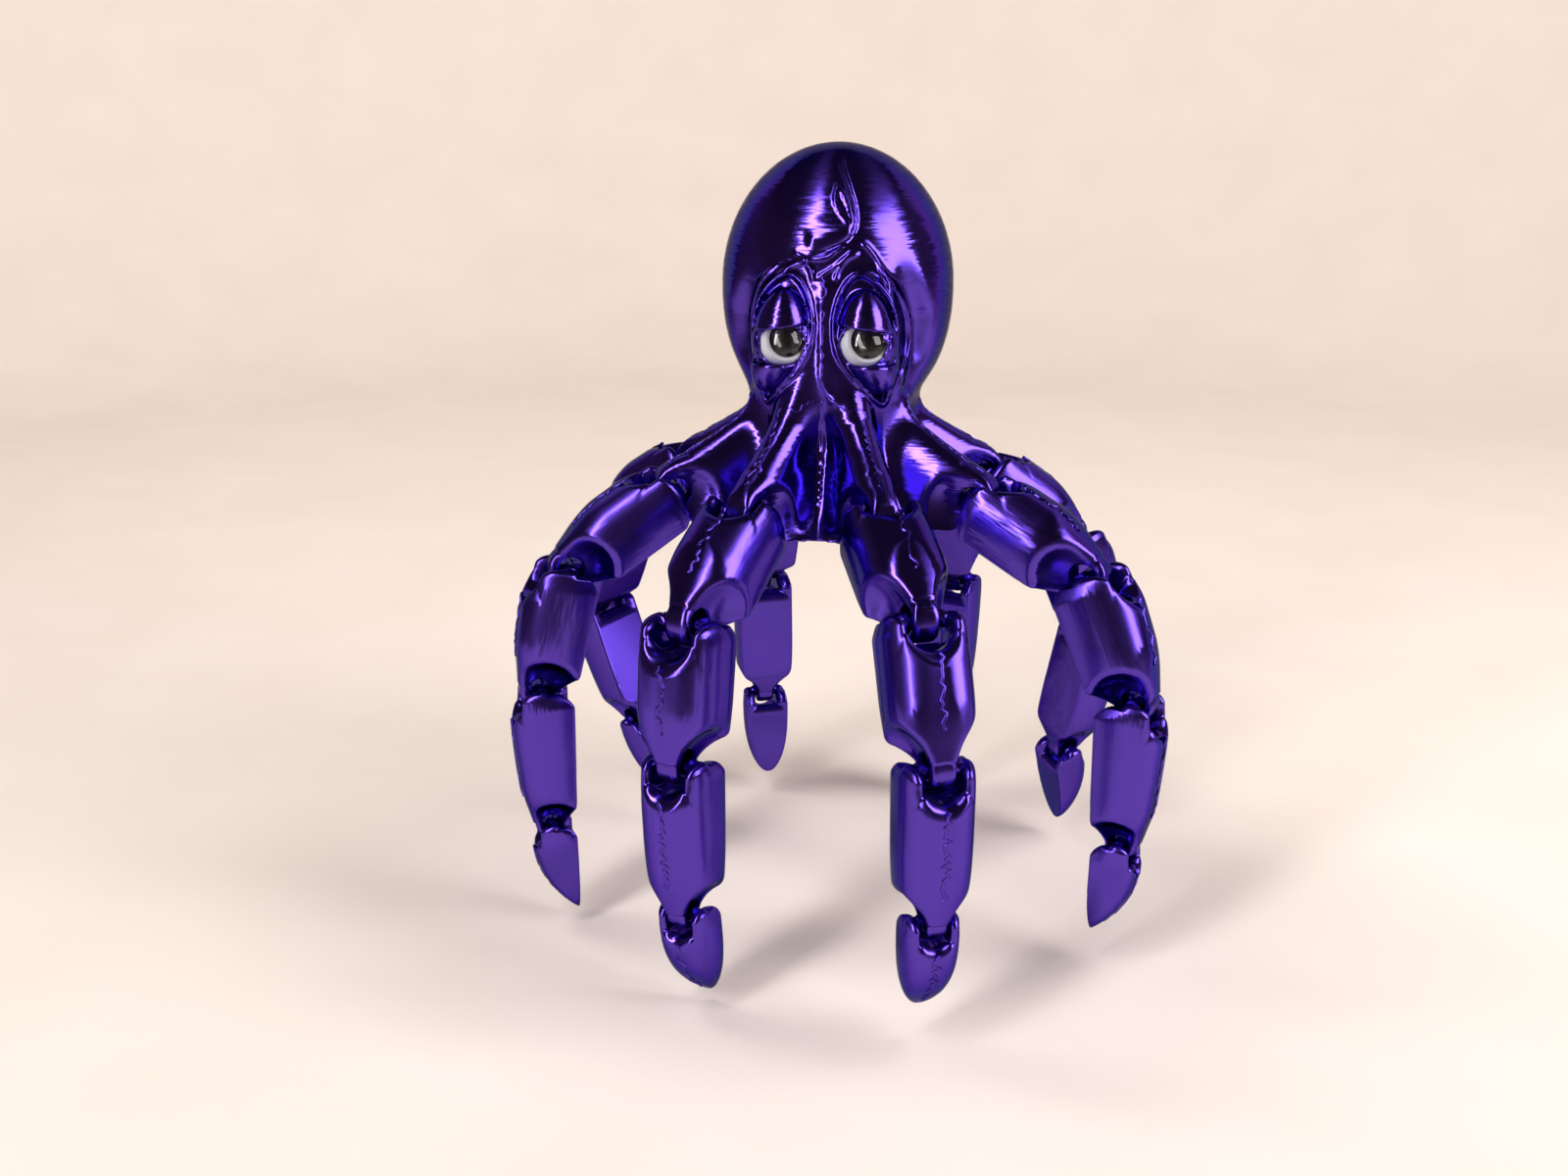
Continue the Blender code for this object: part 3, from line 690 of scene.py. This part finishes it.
def silk_plastic():
    """Printed PLA with a pearly filler: deep violet in shade, lavender streaks along the way it was built."""
    material, tree = new_material("silk_violet_PLA")
    up = add_node(tree, "ShaderNodeAttribute", attribute_name="layer_up")
    height = add_node(tree, "ShaderNodeAttribute", attribute_name="layer_mm")
    place = add_node(tree, "ShaderNodeTexCoord")
    swung = add_node(
        tree,
        "ShaderNodeVectorTransform",
        {0: up.outputs["Vector"]},
        vector_type="VECTOR",
        convert_from="OBJECT",
        convert_to="WORLD",
    )
    tilted = add_node(
        tree, "ShaderNodeVectorMath", {0: swung.outputs[0]}, {1: TANGENT_TILT}, operation="ADD"
    )
    stacked = add_node(
        tree, "ShaderNodeMath", {0: height.outputs["Fac"]}, {1: 1 / LAYER_PITCH_MM}, operation="MULTIPLY"
    )
    layer = add_node(tree, "ShaderNodeMath", {0: stacked.outputs[0]}, operation="FLOOR")
    streaks = add_node(
        tree,
        "ShaderNodeTexNoise",
        {"Vector": place.outputs["Object"], "W": layer.outputs[0]},
        {"Scale": 1 / (STREAK_LENGTH_MM * MM), "Detail": 1.0, "Roughness": 0.5},
        noise_dimensions="4D",
    )
    bump = add_node(
        tree,
        "ShaderNodeBump",
        {"Height": streaks.outputs["Fac"]},
        {"Strength": FRAY_BUMP, "Distance": FRAY_DEPTH_MM * MM},
    )
    level = add_node(
        tree, "ShaderNodeVectorMath", {0: swung.outputs[0], 1: bump.outputs[0]}, operation="CROSS_PRODUCT"
    )
    uneven = add_node(
        tree, "ShaderNodeMapRange", {"Value": streaks.outputs["Fac"]}, {"To Min": -FRAY, "To Max": FRAY}
    )
    shift = add_node(
        tree, "ShaderNodeVectorMath", {0: level.outputs[0], "Scale": uneven.outputs[0]}, operation="SCALE"
    )
    leant = add_node(tree, "ShaderNodeVectorMath", {0: bump.outputs[0], 1: shift.outputs[0]}, operation="ADD")
    normal = add_node(tree, "ShaderNodeVectorMath", {0: leant.outputs[0]}, operation="NORMALIZE")
    shader = add_node(
        tree,
        "ShaderNodeBsdfPrincipled",
        {"Tangent": tilted.outputs[0], "Normal": normal.outputs[0], "Coat Normal": normal.outputs[0]},
        {
            "Base Color": linear("#5439AE"),
            "Metallic": 1.0,
            "Roughness": 0.2,
            "Anisotropic": 0.93,
            "Specular Tint": linear("#4C3C78"),
            "Coat Weight": 0.2,
            "Coat Roughness": 0.08,
        },
    )
    add_node(tree, "ShaderNodeOutputMaterial", {"Surface": shader.outputs[0]})
    return material


silk = silk_plastic()
print("finish:", silk.name)

# %% [markdown]
# ## Hanging the links
# There are thirty-two links of four kinds. They could be copied and turned by hand. Instead a Geometry Nodes
# tree takes one kind as an object, adds the zig-zag seam that the printer leaves along its ridge, notes which
# way its layers were stacked, and turns it to hang at its hinge, so every link is made by the same rule. Each
# link's hinge comes from the frame, and the way it faces from the flat underside of its solid.

# %% The tree that hangs a link
BEAD_SIDES = 6


def new_tree(name, sockets):
    tree = bpy.data.node_groups.new(name, "GeometryNodeTree")
    tree.interface.new_socket("Geometry", in_out="INPUT", socket_type="NodeSocketGeometry")
    for socket, kind in sockets.items():
        tree.interface.new_socket(socket, in_out="INPUT", socket_type=kind)
    tree.interface.new_socket("Geometry", in_out="OUTPUT", socket_type="NodeSocketGeometry")
    return tree, add_node(tree, "NodeGroupInput")


def hanging_tree(material):
    """The modifier's own mesh is the seam's path along the ridge."""
    tree, given = new_tree(
        "hang_printed_link",
        {
            "Print": "NodeSocketObject",
            "Hinge": "NodeSocketVector",
            "Turn": "NodeSocketVector",
            "Seam Step": "NodeSocketFloat",
            "Seam Wander": "NodeSocketFloat",
            "Seam Bead": "NodeSocketFloat",
            "Seed": "NodeSocketInt",
        },
    )
    put = given.outputs
    path = add_node(tree, "GeometryNodeMeshToCurve", {"Mesh": put["Geometry"]})
    even = add_node(
        tree,
        "GeometryNodeResampleCurve",
        {"Curve": path.outputs[0], "Length": put["Seam Step"]},
        mode="LENGTH",
    )
    low = add_node(tree, "ShaderNodeMath", {0: put["Seam Wander"]}, {1: -1.0}, operation="MULTIPLY")
    swing = add_node(
        tree,
        "FunctionNodeRandomValue",
        {"Seed": put["Seed"], 2: low.outputs[0], 3: put["Seam Wander"]},
        data_type="FLOAT",
    )
    level = add_node(tree, "GeometryNodeInputNamedAttribute", (), {"Name": "aside"}, data_type="FLOAT_VECTOR")
    aside = add_node(
        tree, "ShaderNodeVectorMath", {0: level.outputs[0], "Scale": swing.outputs[1]}, operation="SCALE"
    )
    zigzag = add_node(
        tree, "GeometryNodeSetPosition", {"Geometry": even.outputs[0], "Offset": aside.outputs[0]}
    )
    ring = add_node(
        tree, "GeometryNodeCurvePrimitiveCircle", {"Radius": put["Seam Bead"]}, {"Resolution": BEAD_SIDES}
    )
    seam = add_node(
        tree,
        "GeometryNodeCurveToMesh",
        {"Curve": zigzag.outputs[0], "Profile Curve": ring.outputs["Curve"]},
        {"Fill Caps": True},
    )
    link_shape = add_node(tree, "GeometryNodeObjectInfo", {"Object": put["Print"]})
    both = add_node(tree, "GeometryNodeJoinGeometry")
    for part in (seam.outputs[0], link_shape.outputs["Geometry"]):
        tree.links.new(part, both.inputs[0])
    place = add_node(tree, "GeometryNodeInputPosition")
    parted = add_node(tree, "ShaderNodeSeparateXYZ", {0: place.outputs[0]})
    height = add_node(tree, "ShaderNodeMath", {0: parted.outputs["Z"]}, {1: 1 / MM}, operation="MULTIPLY")
    measured = add_node(
        tree,
        "GeometryNodeStoreNamedAttribute",
        {"Geometry": both.outputs[0], "Value": height.outputs[0]},
        {"Name": "layer_mm"},
        data_type="FLOAT",
    )
    turn = add_node(tree, "FunctionNodeEulerToRotation", {0: put["Turn"]})
    up = add_node(
        tree, "FunctionNodeRotateVector", {"Rotation": turn.outputs[0]}, {"Vector": (0.0, 0.0, 1.0)}
    )
    stacked = add_node(
        tree,
        "GeometryNodeStoreNamedAttribute",
        {"Geometry": measured.outputs[0], "Value": up.outputs[0]},
        {"Name": "layer_up"},
        data_type="FLOAT_VECTOR",
    )
    hung = add_node(
        tree,
        "GeometryNodeTransform",
        {"Geometry": stacked.outputs[0], "Translation": put["Hinge"], "Rotation": turn.outputs[0]},
    )
    real = add_node(tree, "GeometryNodeRealizeInstances", {0: hung.outputs[0]})
    smooth = add_node(tree, "GeometryNodeSetShadeSmooth", {"Geometry": real.outputs[0]})
    dressed = add_node(
        tree, "GeometryNodeSetMaterial", {"Geometry": smooth.outputs[0]}, {"Material": material}
    )
    add_node(tree, "NodeGroupOutput", {0: dressed.outputs[0]})
    return tree


def evaluated_mesh(name, base, tree, values):
    """The plain mesh that a tree makes of a base mesh, with the tree's inputs set by name."""
    item = add_object(name, base)
    modifier = item.modifiers.new(tree.name, "NODES")
    modifier.node_group = tree
    for socket in tree.interface.items_tree:
        if socket.in_out == "INPUT" and socket.name in values:
            modifier[socket.identifier] = values[socket.name]
    bpy.context.view_layer.update()
    graph = bpy.context.evaluated_depsgraph_get()
    mesh = bpy.data.meshes.new_from_object(item.evaluated_get(graph))
    bpy.data.objects.remove(item)
    return mesh


hang = hanging_tree(silk)
print("tree:", hang.name, len(hang.nodes), "nodes")


# %% Find how each link is turned
def foot_normal(node):
    """The way that a link's flat underside faces: the direction that most of its area shares."""
    areas = {}
    for polygon in frame["nodes"][node].data.polygons:
        key = tuple(round(value, 2) for value in polygon.normal)
        areas.setdefault(key, [0.0, Vector()])
        areas[key][0] += polygon.area
        areas[key][1] += polygon.normal * polygon.area
    return max(areas.values(), key=lambda entry: entry[0])[1].normalized()


def link_turn(joint):
    """The turn that lays a link's own x, y and z along its arm, its bar and its ridge."""
    across = Vector(joint["axis"]).normalized()
    up = -foot_normal(joint["child"])
    up = (up - up.dot(across) * across).normalized()
    along = across.cross(up)
    return Matrix((along, across, up)).transposed().to_euler()


turns = [link_turn(joint) for joint in frame["joints"]]
print(len(turns), "hinges found")

# %% Seams along the links
SEAM_STEP_MM, SEAM_WANDER_MM, SEAM_BEAD_MM, SEAM_SINK_MM, SEAM_POINTS = 0.9, 1.0, 0.48, 0.12, 24
SEAM_START, TIP_SEAM_END = 1.0, 3.0


def store_vectors(mesh, name, vectors):
    mesh.attributes.new(name, "FLOAT_VECTOR", "POINT").data.foreach_set("vector", vectors.ravel())


def seam_mesh(paths, asides):
    """Lines along which seams run, with the way in which each point may wander."""
    edges, first = [], 0
    for path in paths:
        edges += [(first + i, first + i + 1) for i in range(len(path) - 1)]
        first += len(path)
    mesh = bpy.data.meshes.new("seam_path")
    mesh.from_pydata((np.vstack(paths) * MM).tolist(), edges, [])
    store_vectors(mesh, "aside", np.vstack(asides))
    return mesh


def seam_path(index):
    """The line along a link's ridge, from the cup to the nose."""
    start = JOINT_SCALES[index] * CUP_REACH + SEAM_START
    end = LINK_LENGTHS[index] - (NOSE_TAPER if index + 1 < len(LINK_NAMES) else TIP_SEAM_END)
    x = np.linspace(start, end, SEAM_POINTS, dtype=np.float32)
    _, _, ridge = link_outline(index, x)
    points = np.stack((x, np.zeros_like(x), ridge - SEAM_SINK_MM), 1)
    return seam_mesh([points], [np.tile((0.0, 1.0, 0.0), (len(points), 1))])


seams = [seam_path(index) for index in range(len(LINK_NAMES))]
print(len(seams), "seam paths of", SEAM_POINTS, "points")


# %% Hang the links
def show(name, mesh, body, node):
    """A finished piece that moves with a body and stands for a CAD node."""
    piece = add_object(name, mesh)
    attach(piece, body)
    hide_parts(node)


for seed, joint in enumerate(frame["joints"]):
    node = joint["child"]
    index = next(i for i, kind in enumerate(LINK_NAMES) if node.endswith(kind))
    values = {
        "Print": templates[index],
        "Hinge": joint["pos_m"],
        "Turn": turns[seed],
        "Seam Step": SEAM_STEP_MM * MM,
        "Seam Wander": SEAM_WANDER_MM * MM,
        "Seam Bead": SEAM_BEAD_MM * MM,
        "Seed": seed,
    }
    show(f"printed_{node}", evaluated_mesh(node, seams[index], hang, values), node, node)
for template in templates:
    bpy.data.objects.remove(template)

# %% [markdown]
# ## Seams of the head
# The printer's nozzle also leaves a fine seam down the nose and out along each spoke. It could be a painted
# line, but it catches the light, so it is the same zig-zag bead as on the links. Its path is drawn near the
# surface and then pulled onto it.

# %% Seams of the head
NOSE_SEAM = (
    (0.2, -21, 63), (0, -22, 56), (-0.2, -22.5, 48), (0.1, -23, 40), (1.2, -24, 34.6), (4.4, -24, 32)
)
ARCH_SEAM = ((0.2, -23.6, 32.6), (-2.2, -23.8, 32.8), (-4.4, -24, 32))
SPOKE_SEAM = ((7.9, 21.4), (10.3, 25.6), (12.9, 31.4), (15.7, 37.9), (16.8, 40.6))
RING_SPOKE_SEAM = (16.0, 22.0, 28.0, 34.0, 40.0, 43.6)
SEAM_PULL_MM, SEAM_LIFT_MM, HEAD_SEAM_SINK_MM = 4.0, 1.5, 0.08
HEAD_SEAM_STEP_MM, HEAD_SEAM_WANDER_MM, HEAD_SEAM_BEAD_MM = 0.7, 0.6, 0.28


def head_paths():
    """The nose runs into the right front spoke, an arch into the left one, and six spokes have their own."""
    ridge = [float(ease(np.float32(np.hypot(x, y)), SPOKE_RIDGE)) + SEAM_LIFT_MM for x, y in SPOKE_SEAM]
    paths = [NOSE_SEAM + tuple((x, -y, z) for (x, y), z in zip(SPOKE_SEAM, ridge))]
    paths.append(ARCH_SEAM + tuple((-x, -y, z) for (x, y), z in zip(SPOKE_SEAM, ridge)))
    for number in range(1, SPOKE_COUNT - 1):
        angle = SPOKE_STEP * (number + 0.5)
        along = np.array(RING_SPOKE_SEAM, np.float32)
        paths.append(np.stack((np.sin(angle) * along, -np.cos(angle) * along, ease(along, SPOKE_RIDGE)), 1))
    return [curve(path) for path in paths]


def head_seams():
    paths, asides = [], []
    for path in head_paths():
        points = pull_to_surface(head, path.astype(np.float32), SEAM_PULL_MM)
        points = pull_to_surface(head, points, HEAD_STEP)
        _, outward = value_and_slope(head, points, HEAD_STEP / 2)
        aside = np.cross(np.gradient(points, axis=0), outward)
        asides.append(aside / np.maximum(np.linalg.norm(aside, axis=1), TINY)[:, None])
        paths.append(points - HEAD_SEAM_SINK_MM * outward)
    return seam_mesh(paths, asides)


printed = add_object("template_head", head_mesh)
values = {
    "Print": printed,
    "Seam Step": HEAD_SEAM_STEP_MM * MM,
    "Seam Wander": HEAD_SEAM_WANDER_MM * MM,
    "Seam Bead": HEAD_SEAM_BEAD_MM * MM,
    "Seed": len(frame["joints"]),
}
show("printed_head", evaluated_mesh("head", head_seams(), hang, values), "body", "body")
bpy.data.objects.remove(printed)
print("head dressed")

# %% [markdown]
# ## The eyes
# The eyes are 12 mm doll eyes, glued in: a white ball with a flat, a printed iris on the flat and a clear
# acrylic dome over it. All three are round about one axis, so each is a profile that is spun, which gives a
# cleaner rim than cutting a ball would. They are turned a little up and towards the viewer's right, so the
# white shows as a crescent.

# %% Eye shapes
TURN_SEGMENTS, ARC_STEPS = 64, 32
WELD_MM, SHARP_EDGE = 0.001, math.radians(40)
DOME_FLAT, IRIS_TOP, LENS_FLAT, IRIS_RADIUS, PUPIL_RADIUS = 3.4, 4.0, 4.2, 4.25, 2.7
IRIS_DISH, FOIL_GAP = 0.2, 0.2


def turned(name, profile):
    """A turned shape about +z, from its profile of radius and height, outer side first."""
    shape = bmesh.new()
    points = [shape.verts.new((radius * MM, 0.0, z * MM)) for radius, z in profile]
    edges = [shape.edges.new(pair) for pair in zip(points, points[1:])]
    bmesh.ops.spin(
        shape, geom=points + edges, cent=(0, 0, 0), axis=(0, 0, 1), angle=2 * math.pi, steps=TURN_SEGMENTS
    )
    bmesh.ops.remove_doubles(shape, verts=shape.verts, dist=WELD_MM * MM)
    bmesh.ops.recalc_face_normals(shape, faces=shape.faces)
    mesh = bpy.data.meshes.new(name)
    shape.to_mesh(mesh)
    shape.free()
    mesh.shade_smooth()
    mesh.set_sharp_from_angle(angle=SHARP_EDGE)
    return mesh


def ball_arc(start, end, radius):
    """Points along a ball's side between two heights."""
    angles = np.linspace(math.asin(start / radius), math.asin(end / radius), ARC_STEPS)
    return [(radius * math.cos(a), radius * math.sin(a)) for a in angles]


def eye_profiles():
    white = [(0.0, DOME_FLAT), *ball_arc(DOME_FLAT, -EYE_RADIUS, EYE_RADIUS)]
    foot = DOME_FLAT + FOIL_GAP
    iris = [(0.0, IRIS_TOP - IRIS_DISH), (PUPIL_RADIUS, IRIS_TOP), (IRIS_RADIUS, IRIS_TOP)]
    iris += [(IRIS_RADIUS, foot), (0.0, foot)]
    lens = [*ball_arc(EYE_RADIUS, LENS_FLAT, EYE_RADIUS), (0.0, LENS_FLAT)]
    return {"eye_white": white, "eye_iris": iris, "eye_lens": lens}


profiles = eye_profiles()
print("profile points:", {part: len(profile) for part, profile in profiles.items()})

# %% Eye finishes
CLOUD_MM = 3.0
# The ring map is about 38 units round, so the foil's spokes come about 0.6 mm apart.
RING_SPREAD = 6.0
SPOKES_DARK, SPOKES_LIGHT = 0.35, 0.7


def clouded(tree, size_mm, dark, light):
    """A colour that drifts between two others in soft clouds, and the place that it is read from."""
    place = add_node(tree, "ShaderNodeTexCoord")
    cloud = add_node(
        tree,
        "ShaderNodeTexNoise",
        {"Vector": place.outputs["Object"]},
        {"Scale": 1 / (size_mm * MM), "Detail": 2.0},
    )
    tint = add_node(tree, "ShaderNodeValToRGB", {0: cloud.outputs["Fac"]})
    for stop, colour in zip(tint.color_ramp.elements, (dark, light)):
        stop.color = linear(colour)
    return tint, place


def eye_white():
    """ABS from a polished mould: an even, faintly clouded cool white under a soft gloss."""
    material, tree = new_material("moulded_white_plastic")
    tint, _ = clouded(tree, CLOUD_MM, "#BEC0C8", "#DADCE2")
    shader = add_node(
        tree, "ShaderNodeBsdfPrincipled", {"Base Color": tint.outputs[0]}, {"Roughness": 0.25, "IOR": 1.5}
    )
    add_node(tree, "ShaderNodeOutputMaterial", {"Surface": shader.outputs[0]})
    return material


def eye_iris():
    """Printed foil: a black pupil in a dark ring with fine spokes, read from the piece's own ring map."""
    material, tree = new_material("printed_iris_foil")
    ring = add_node(tree, "ShaderNodeAttribute", attribute_name="ring")
    parted = add_node(tree, "ShaderNodeSeparateXYZ", {0: ring.outputs["Vector"]})
    spokes_pattern = add_node(
        tree, "ShaderNodeTexNoise", {"Vector": ring.outputs["Vector"]}, {"Scale": 1.0, "Detail": 3.0}
    )
    grey = add_node(tree, "ShaderNodeValToRGB", {0: spokes_pattern.outputs["Fac"]})
    dark, light = grey.color_ramp.elements
    dark.position, light.position = SPOKES_DARK, SPOKES_LIGHT
    dark.color, light.color = linear("#060608"), linear("#232228")
    edge = add_node(
        tree, "ShaderNodeMath", {0: parted.outputs["Z"]}, {1: PUPIL_RADIUS}, operation="GREATER_THAN"
    )
    colour = add_node(
        tree,
        "ShaderNodeMix",
        {"Factor": edge.outputs[0], 7: grey.outputs[0]},
        {6: linear("#020203")},
        data_type="RGBA",
    )
    shader = add_node(
        tree, "ShaderNodeBsdfPrincipled", {"Base Color": colour.outputs[2]}, {"Roughness": 0.35}
    )
    add_node(tree, "ShaderNodeOutputMaterial", {"Surface": shader.outputs[0]})
    return material


def eye_lens():
    """Cast acrylic, polished: it is seen only by its small sharp highlights and the dark foil through it."""
    material, tree = new_material("clear_acrylic")
    shader = add_node(
        tree,
        "ShaderNodeBsdfPrincipled",
        (),
        {"Base Color": linear("#FFFFFF"), "Roughness": 0.02, "IOR": 1.49, "Transmission Weight": 1.0},
    )
    add_node(tree, "ShaderNodeOutputMaterial", {"Surface": shader.outputs[0]})
    return material


finishes = {"eye_white": eye_white(), "eye_iris": eye_iris(), "eye_lens": eye_lens()}
print("finishes:", [finish.name for finish in finishes.values()])

# %% Place the eyes
EYE_TURN, EYE_LIFT = math.radians(20), math.radians(19)
eye_look = Euler((math.pi / 2 - EYE_LIFT, 0.0, EYE_TURN)).to_matrix().to_4x4()
for part, profile in profiles.items():
    for side, sign in (("left", -1), ("right", 1)):
        mesh = turned(part, profile)
        if part == "eye_iris":
            local = np.array([v.co for v in mesh.vertices]) / MM
            angle = np.arctan2(local[:, 1], local[:, 0])
            radius = np.hypot(local[:, 0], local[:, 1])
            ring = (RING_SPREAD * np.cos(angle), RING_SPREAD * np.sin(angle), radius)
            store_vectors(mesh, "ring", np.stack(ring, 1))
        centre = Vector((sign * EYE_CENTRE[0], EYE_CENTRE[1], EYE_CENTRE[2])) * MM
        mesh.transform(Matrix.Translation(centre) @ eye_look)
        mesh.materials.append(finishes[part])
        show(f"{part}_{side}_finished", mesh, "body", f"{part}_{side}")
print("eyes placed, turned", round(math.degrees(EYE_TURN)), "degrees")

# %% [markdown]
# ## Floor and light
# The toy stands before pale cream paper. A flat floor and a wall would show the line where they meet, so the
# paper is a round floor that curves up into a wall, and it gives a pale rim round every silhouette. Two tall
# soft boxes make the streaks on the head, and the world stays dim so that the violet keeps its deep shadows.
# Beside and behind the camera the paper has painted shade, a grey-brown that stands in for the dim room
# there, because a shiny toy shows what lies there too.

# %% The paper
PAPER_CLOUD_MM = 60.0
# Where the painted shade on the paper starts and where it is full, in metres.
SIDE_PALE_M, SIDE_PAINTED_SHADE_M, FRONT_PALE_M, FRONT_PAINTED_SHADE_M = 0.25, 0.5, -0.2, -0.4


def cream_paper_with_painted_shade():
    """Uncoated paper from a roll: matt, warm and faintly clouded, with painted shade that darkens it at the
    sides and in front.
    """
    material, tree = new_material("cream_paper_with_painted_shade")
    tint, place = clouded(tree, PAPER_CLOUD_MM, "#EADFD4", "#F2E9E0")
    parted = add_node(tree, "ShaderNodeSeparateXYZ", {0: place.outputs["Object"]})
    aside = add_node(tree, "ShaderNodeMath", {0: parted.outputs["X"]}, operation="ABSOLUTE")
    behind = add_node(tree, "ShaderNodeMath", {0: parted.outputs["Y"]}, {1: 0.0}, operation="MAXIMUM")
    wedge = add_node(
        tree,
        "ShaderNodeMath",
        {0: behind.outputs[0], 2: aside.outputs[0]},
        {1: -1.0},
        operation="MULTIPLY_ADD",
    )
    sides = add_node(
        tree,
        "ShaderNodeMapRange",
        {"Value": wedge.outputs[0]},
        {"From Min": SIDE_PAINTED_SHADE_M, "From Max": SIDE_PALE_M},
        interpolation_type="SMOOTHSTEP",
    )
    front = add_node(
        tree,
        "ShaderNodeMapRange",
        {"Value": parted.outputs["Y"]},
        {"From Min": FRONT_PAINTED_SHADE_M, "From Max": FRONT_PALE_M},
        interpolation_type="SMOOTHSTEP",
    )
    near = add_node(tree, "ShaderNodeMath", {0: sides.outputs[0], 1: front.outputs[0]}, operation="MULTIPLY")
    # Painted shade: outside the pale wedge behind the toy and towards the camera, the paper's colour is mixed
    # towards a grey-brown that stands in for the dim room.
    paper_with_painted_shade = add_node(
        tree,
        "ShaderNodeMix",
        {"Factor": near.outputs[0], 7: tint.outputs[0]},
        {6: linear("#6E6660")},
        data_type="RGBA",
    )
    shader = add_node(
        tree, "ShaderNodeBsdfPrincipled", {"Base Color": paper_with_painted_shade.outputs[2]}, {"Roughness": 0.8}
    )
    add_node(tree, "ShaderNodeOutputMaterial", {"Surface": shader.outputs[0]})
    return material


paper = cream_paper_with_painted_shade()
print("stage finish:", paper.name)

# %% The sweep
FLOOR_Z, SWEEP_REACH, SWEEP_CURVE, SWEEP_TOP, SWEEP_STEPS = -110.5, 1200.0, 350.0, 1100.0, 16
FLAT_SHARE = 0.95


def sweep_profile():
    flat = SWEEP_REACH - SWEEP_CURVE
    profile = [(0.0, FLOOR_Z), (FLAT_SHARE * flat, FLOOR_Z)]
    for angle in np.linspace(0, math.pi / 2, SWEEP_STEPS + 1):
        rise = FLOOR_Z + SWEEP_CURVE * (1 - math.cos(angle))
        profile.append((flat + SWEEP_CURVE * math.sin(angle), rise))
    return [*profile, (SWEEP_REACH, SWEEP_TOP)]


sweep = add_object("sweep", turned("sweep", sweep_profile()))
sweep.data.materials.append(paper)
print("floor at", FLOOR_Z, "mm, wall", SWEEP_REACH, "mm from the axis")

# %% Lamps and world
WHITE_CLOTH, WARM_WHITE, ROOM = "#FCF8FA", "#FFF8F4", "#E6DDD6"
ROOM_STRENGTH = 0.06
HEAD_TARGET = (0, 0, 0.06)


def soft_box(name, place, target, size, power, colour):
    """A lamp behind a cloth of the given width and height, in metres, watts and a hex colour."""
    lamp = bpy.data.lights.new(name, "AREA")
    lamp.shape = "RECTANGLE"
    lamp.size, lamp.size_y = size
    lamp.energy = power
    lamp.color = linear(colour)[:3]
    item = add_object(name, lamp)
    item.location = place
    item.rotation_euler = (Vector(target) - Vector(place)).to_track_quat("-Z", "Y").to_euler()
    return item


soft_box("left_strip", (-0.4, -0.65, 0.5), HEAD_TARGET, (0.14, 1.2), 8.0, WHITE_CLOTH)
soft_box("right_box", (0.85, -0.25, 0.42), HEAD_TARGET, (0.52, 0.8), 9.3, WHITE_CLOTH)
# The washes are for the paper: they are kept out of the toy's gloss, as a flag beside a real lamp would do.
for side, power in ((-1, 4.6), (1, 3.5)):
    place, target = (side * 0.6, 0.1, 0.85), (side * 0.1, 1.1, 0.1)
    wash = soft_box("backdrop_wash", place, target, (0.4, 0.4), power, WARM_WHITE)
    wash.visible_glossy = False
world = bpy.data.worlds.new("studio")
bpy.context.scene.world = world
world.use_nodes = True
room = world.node_tree.nodes["Background"]
room.inputs["Color"].default_value = linear(ROOM)
room.inputs["Strength"].default_value = ROOM_STRENGTH
bpy.context.scene.view_settings.view_transform = "Standard"
print("lamps, watts:", {lamp.name: round(lamp.energy, 1) for lamp in bpy.data.lights})

# %% [markdown]
# ## The camera
# The camera stands where the photograph's viewing angle needs it: a little above the toy, looking down at it.
# It could be aimed with a constraint, but plain directions are easier to read and to turn. Its place and its
# directions are given first and then turned together by a few degrees about the toy's upright axis.

# %% Camera, in metres
CAMERA_TURN = math.radians(6.2)
CAMERA_PLACE, CAMERA_LOOK = (0.0, -0.4064, 0.1045), (-0.02898, 0.95443, -0.29704)
CAMERA_RIGHT = (0.99954, 0.03035, 0.0)
FOCAL_PIXELS, IMAGE_WIDTH, SENSOR_MM, CLIP_START = 1621, 1600, 36.0, 0.01


def photo_camera():
    turn = Matrix.Rotation(CAMERA_TURN, 3, "Z")
    look, right = (turn @ Vector(v).normalized() for v in (CAMERA_LOOK, CAMERA_RIGHT))
    up = right.cross(look)
    camera = bpy.data.cameras.new("photo_camera")
    camera.sensor_width = SENSOR_MM
    camera.lens = FOCAL_PIXELS / IMAGE_WIDTH * SENSOR_MM
    camera.clip_start = CLIP_START
    place = Matrix((right, up, -look)).transposed().to_4x4()
    place.translation = turn @ Vector(CAMERA_PLACE)
    item = add_object("photo_camera", camera)
    item.matrix_world = place
    return item


bpy.context.scene.camera = photo_camera()
print("camera lens:", round(bpy.context.scene.camera.data.lens, 1), "mm")
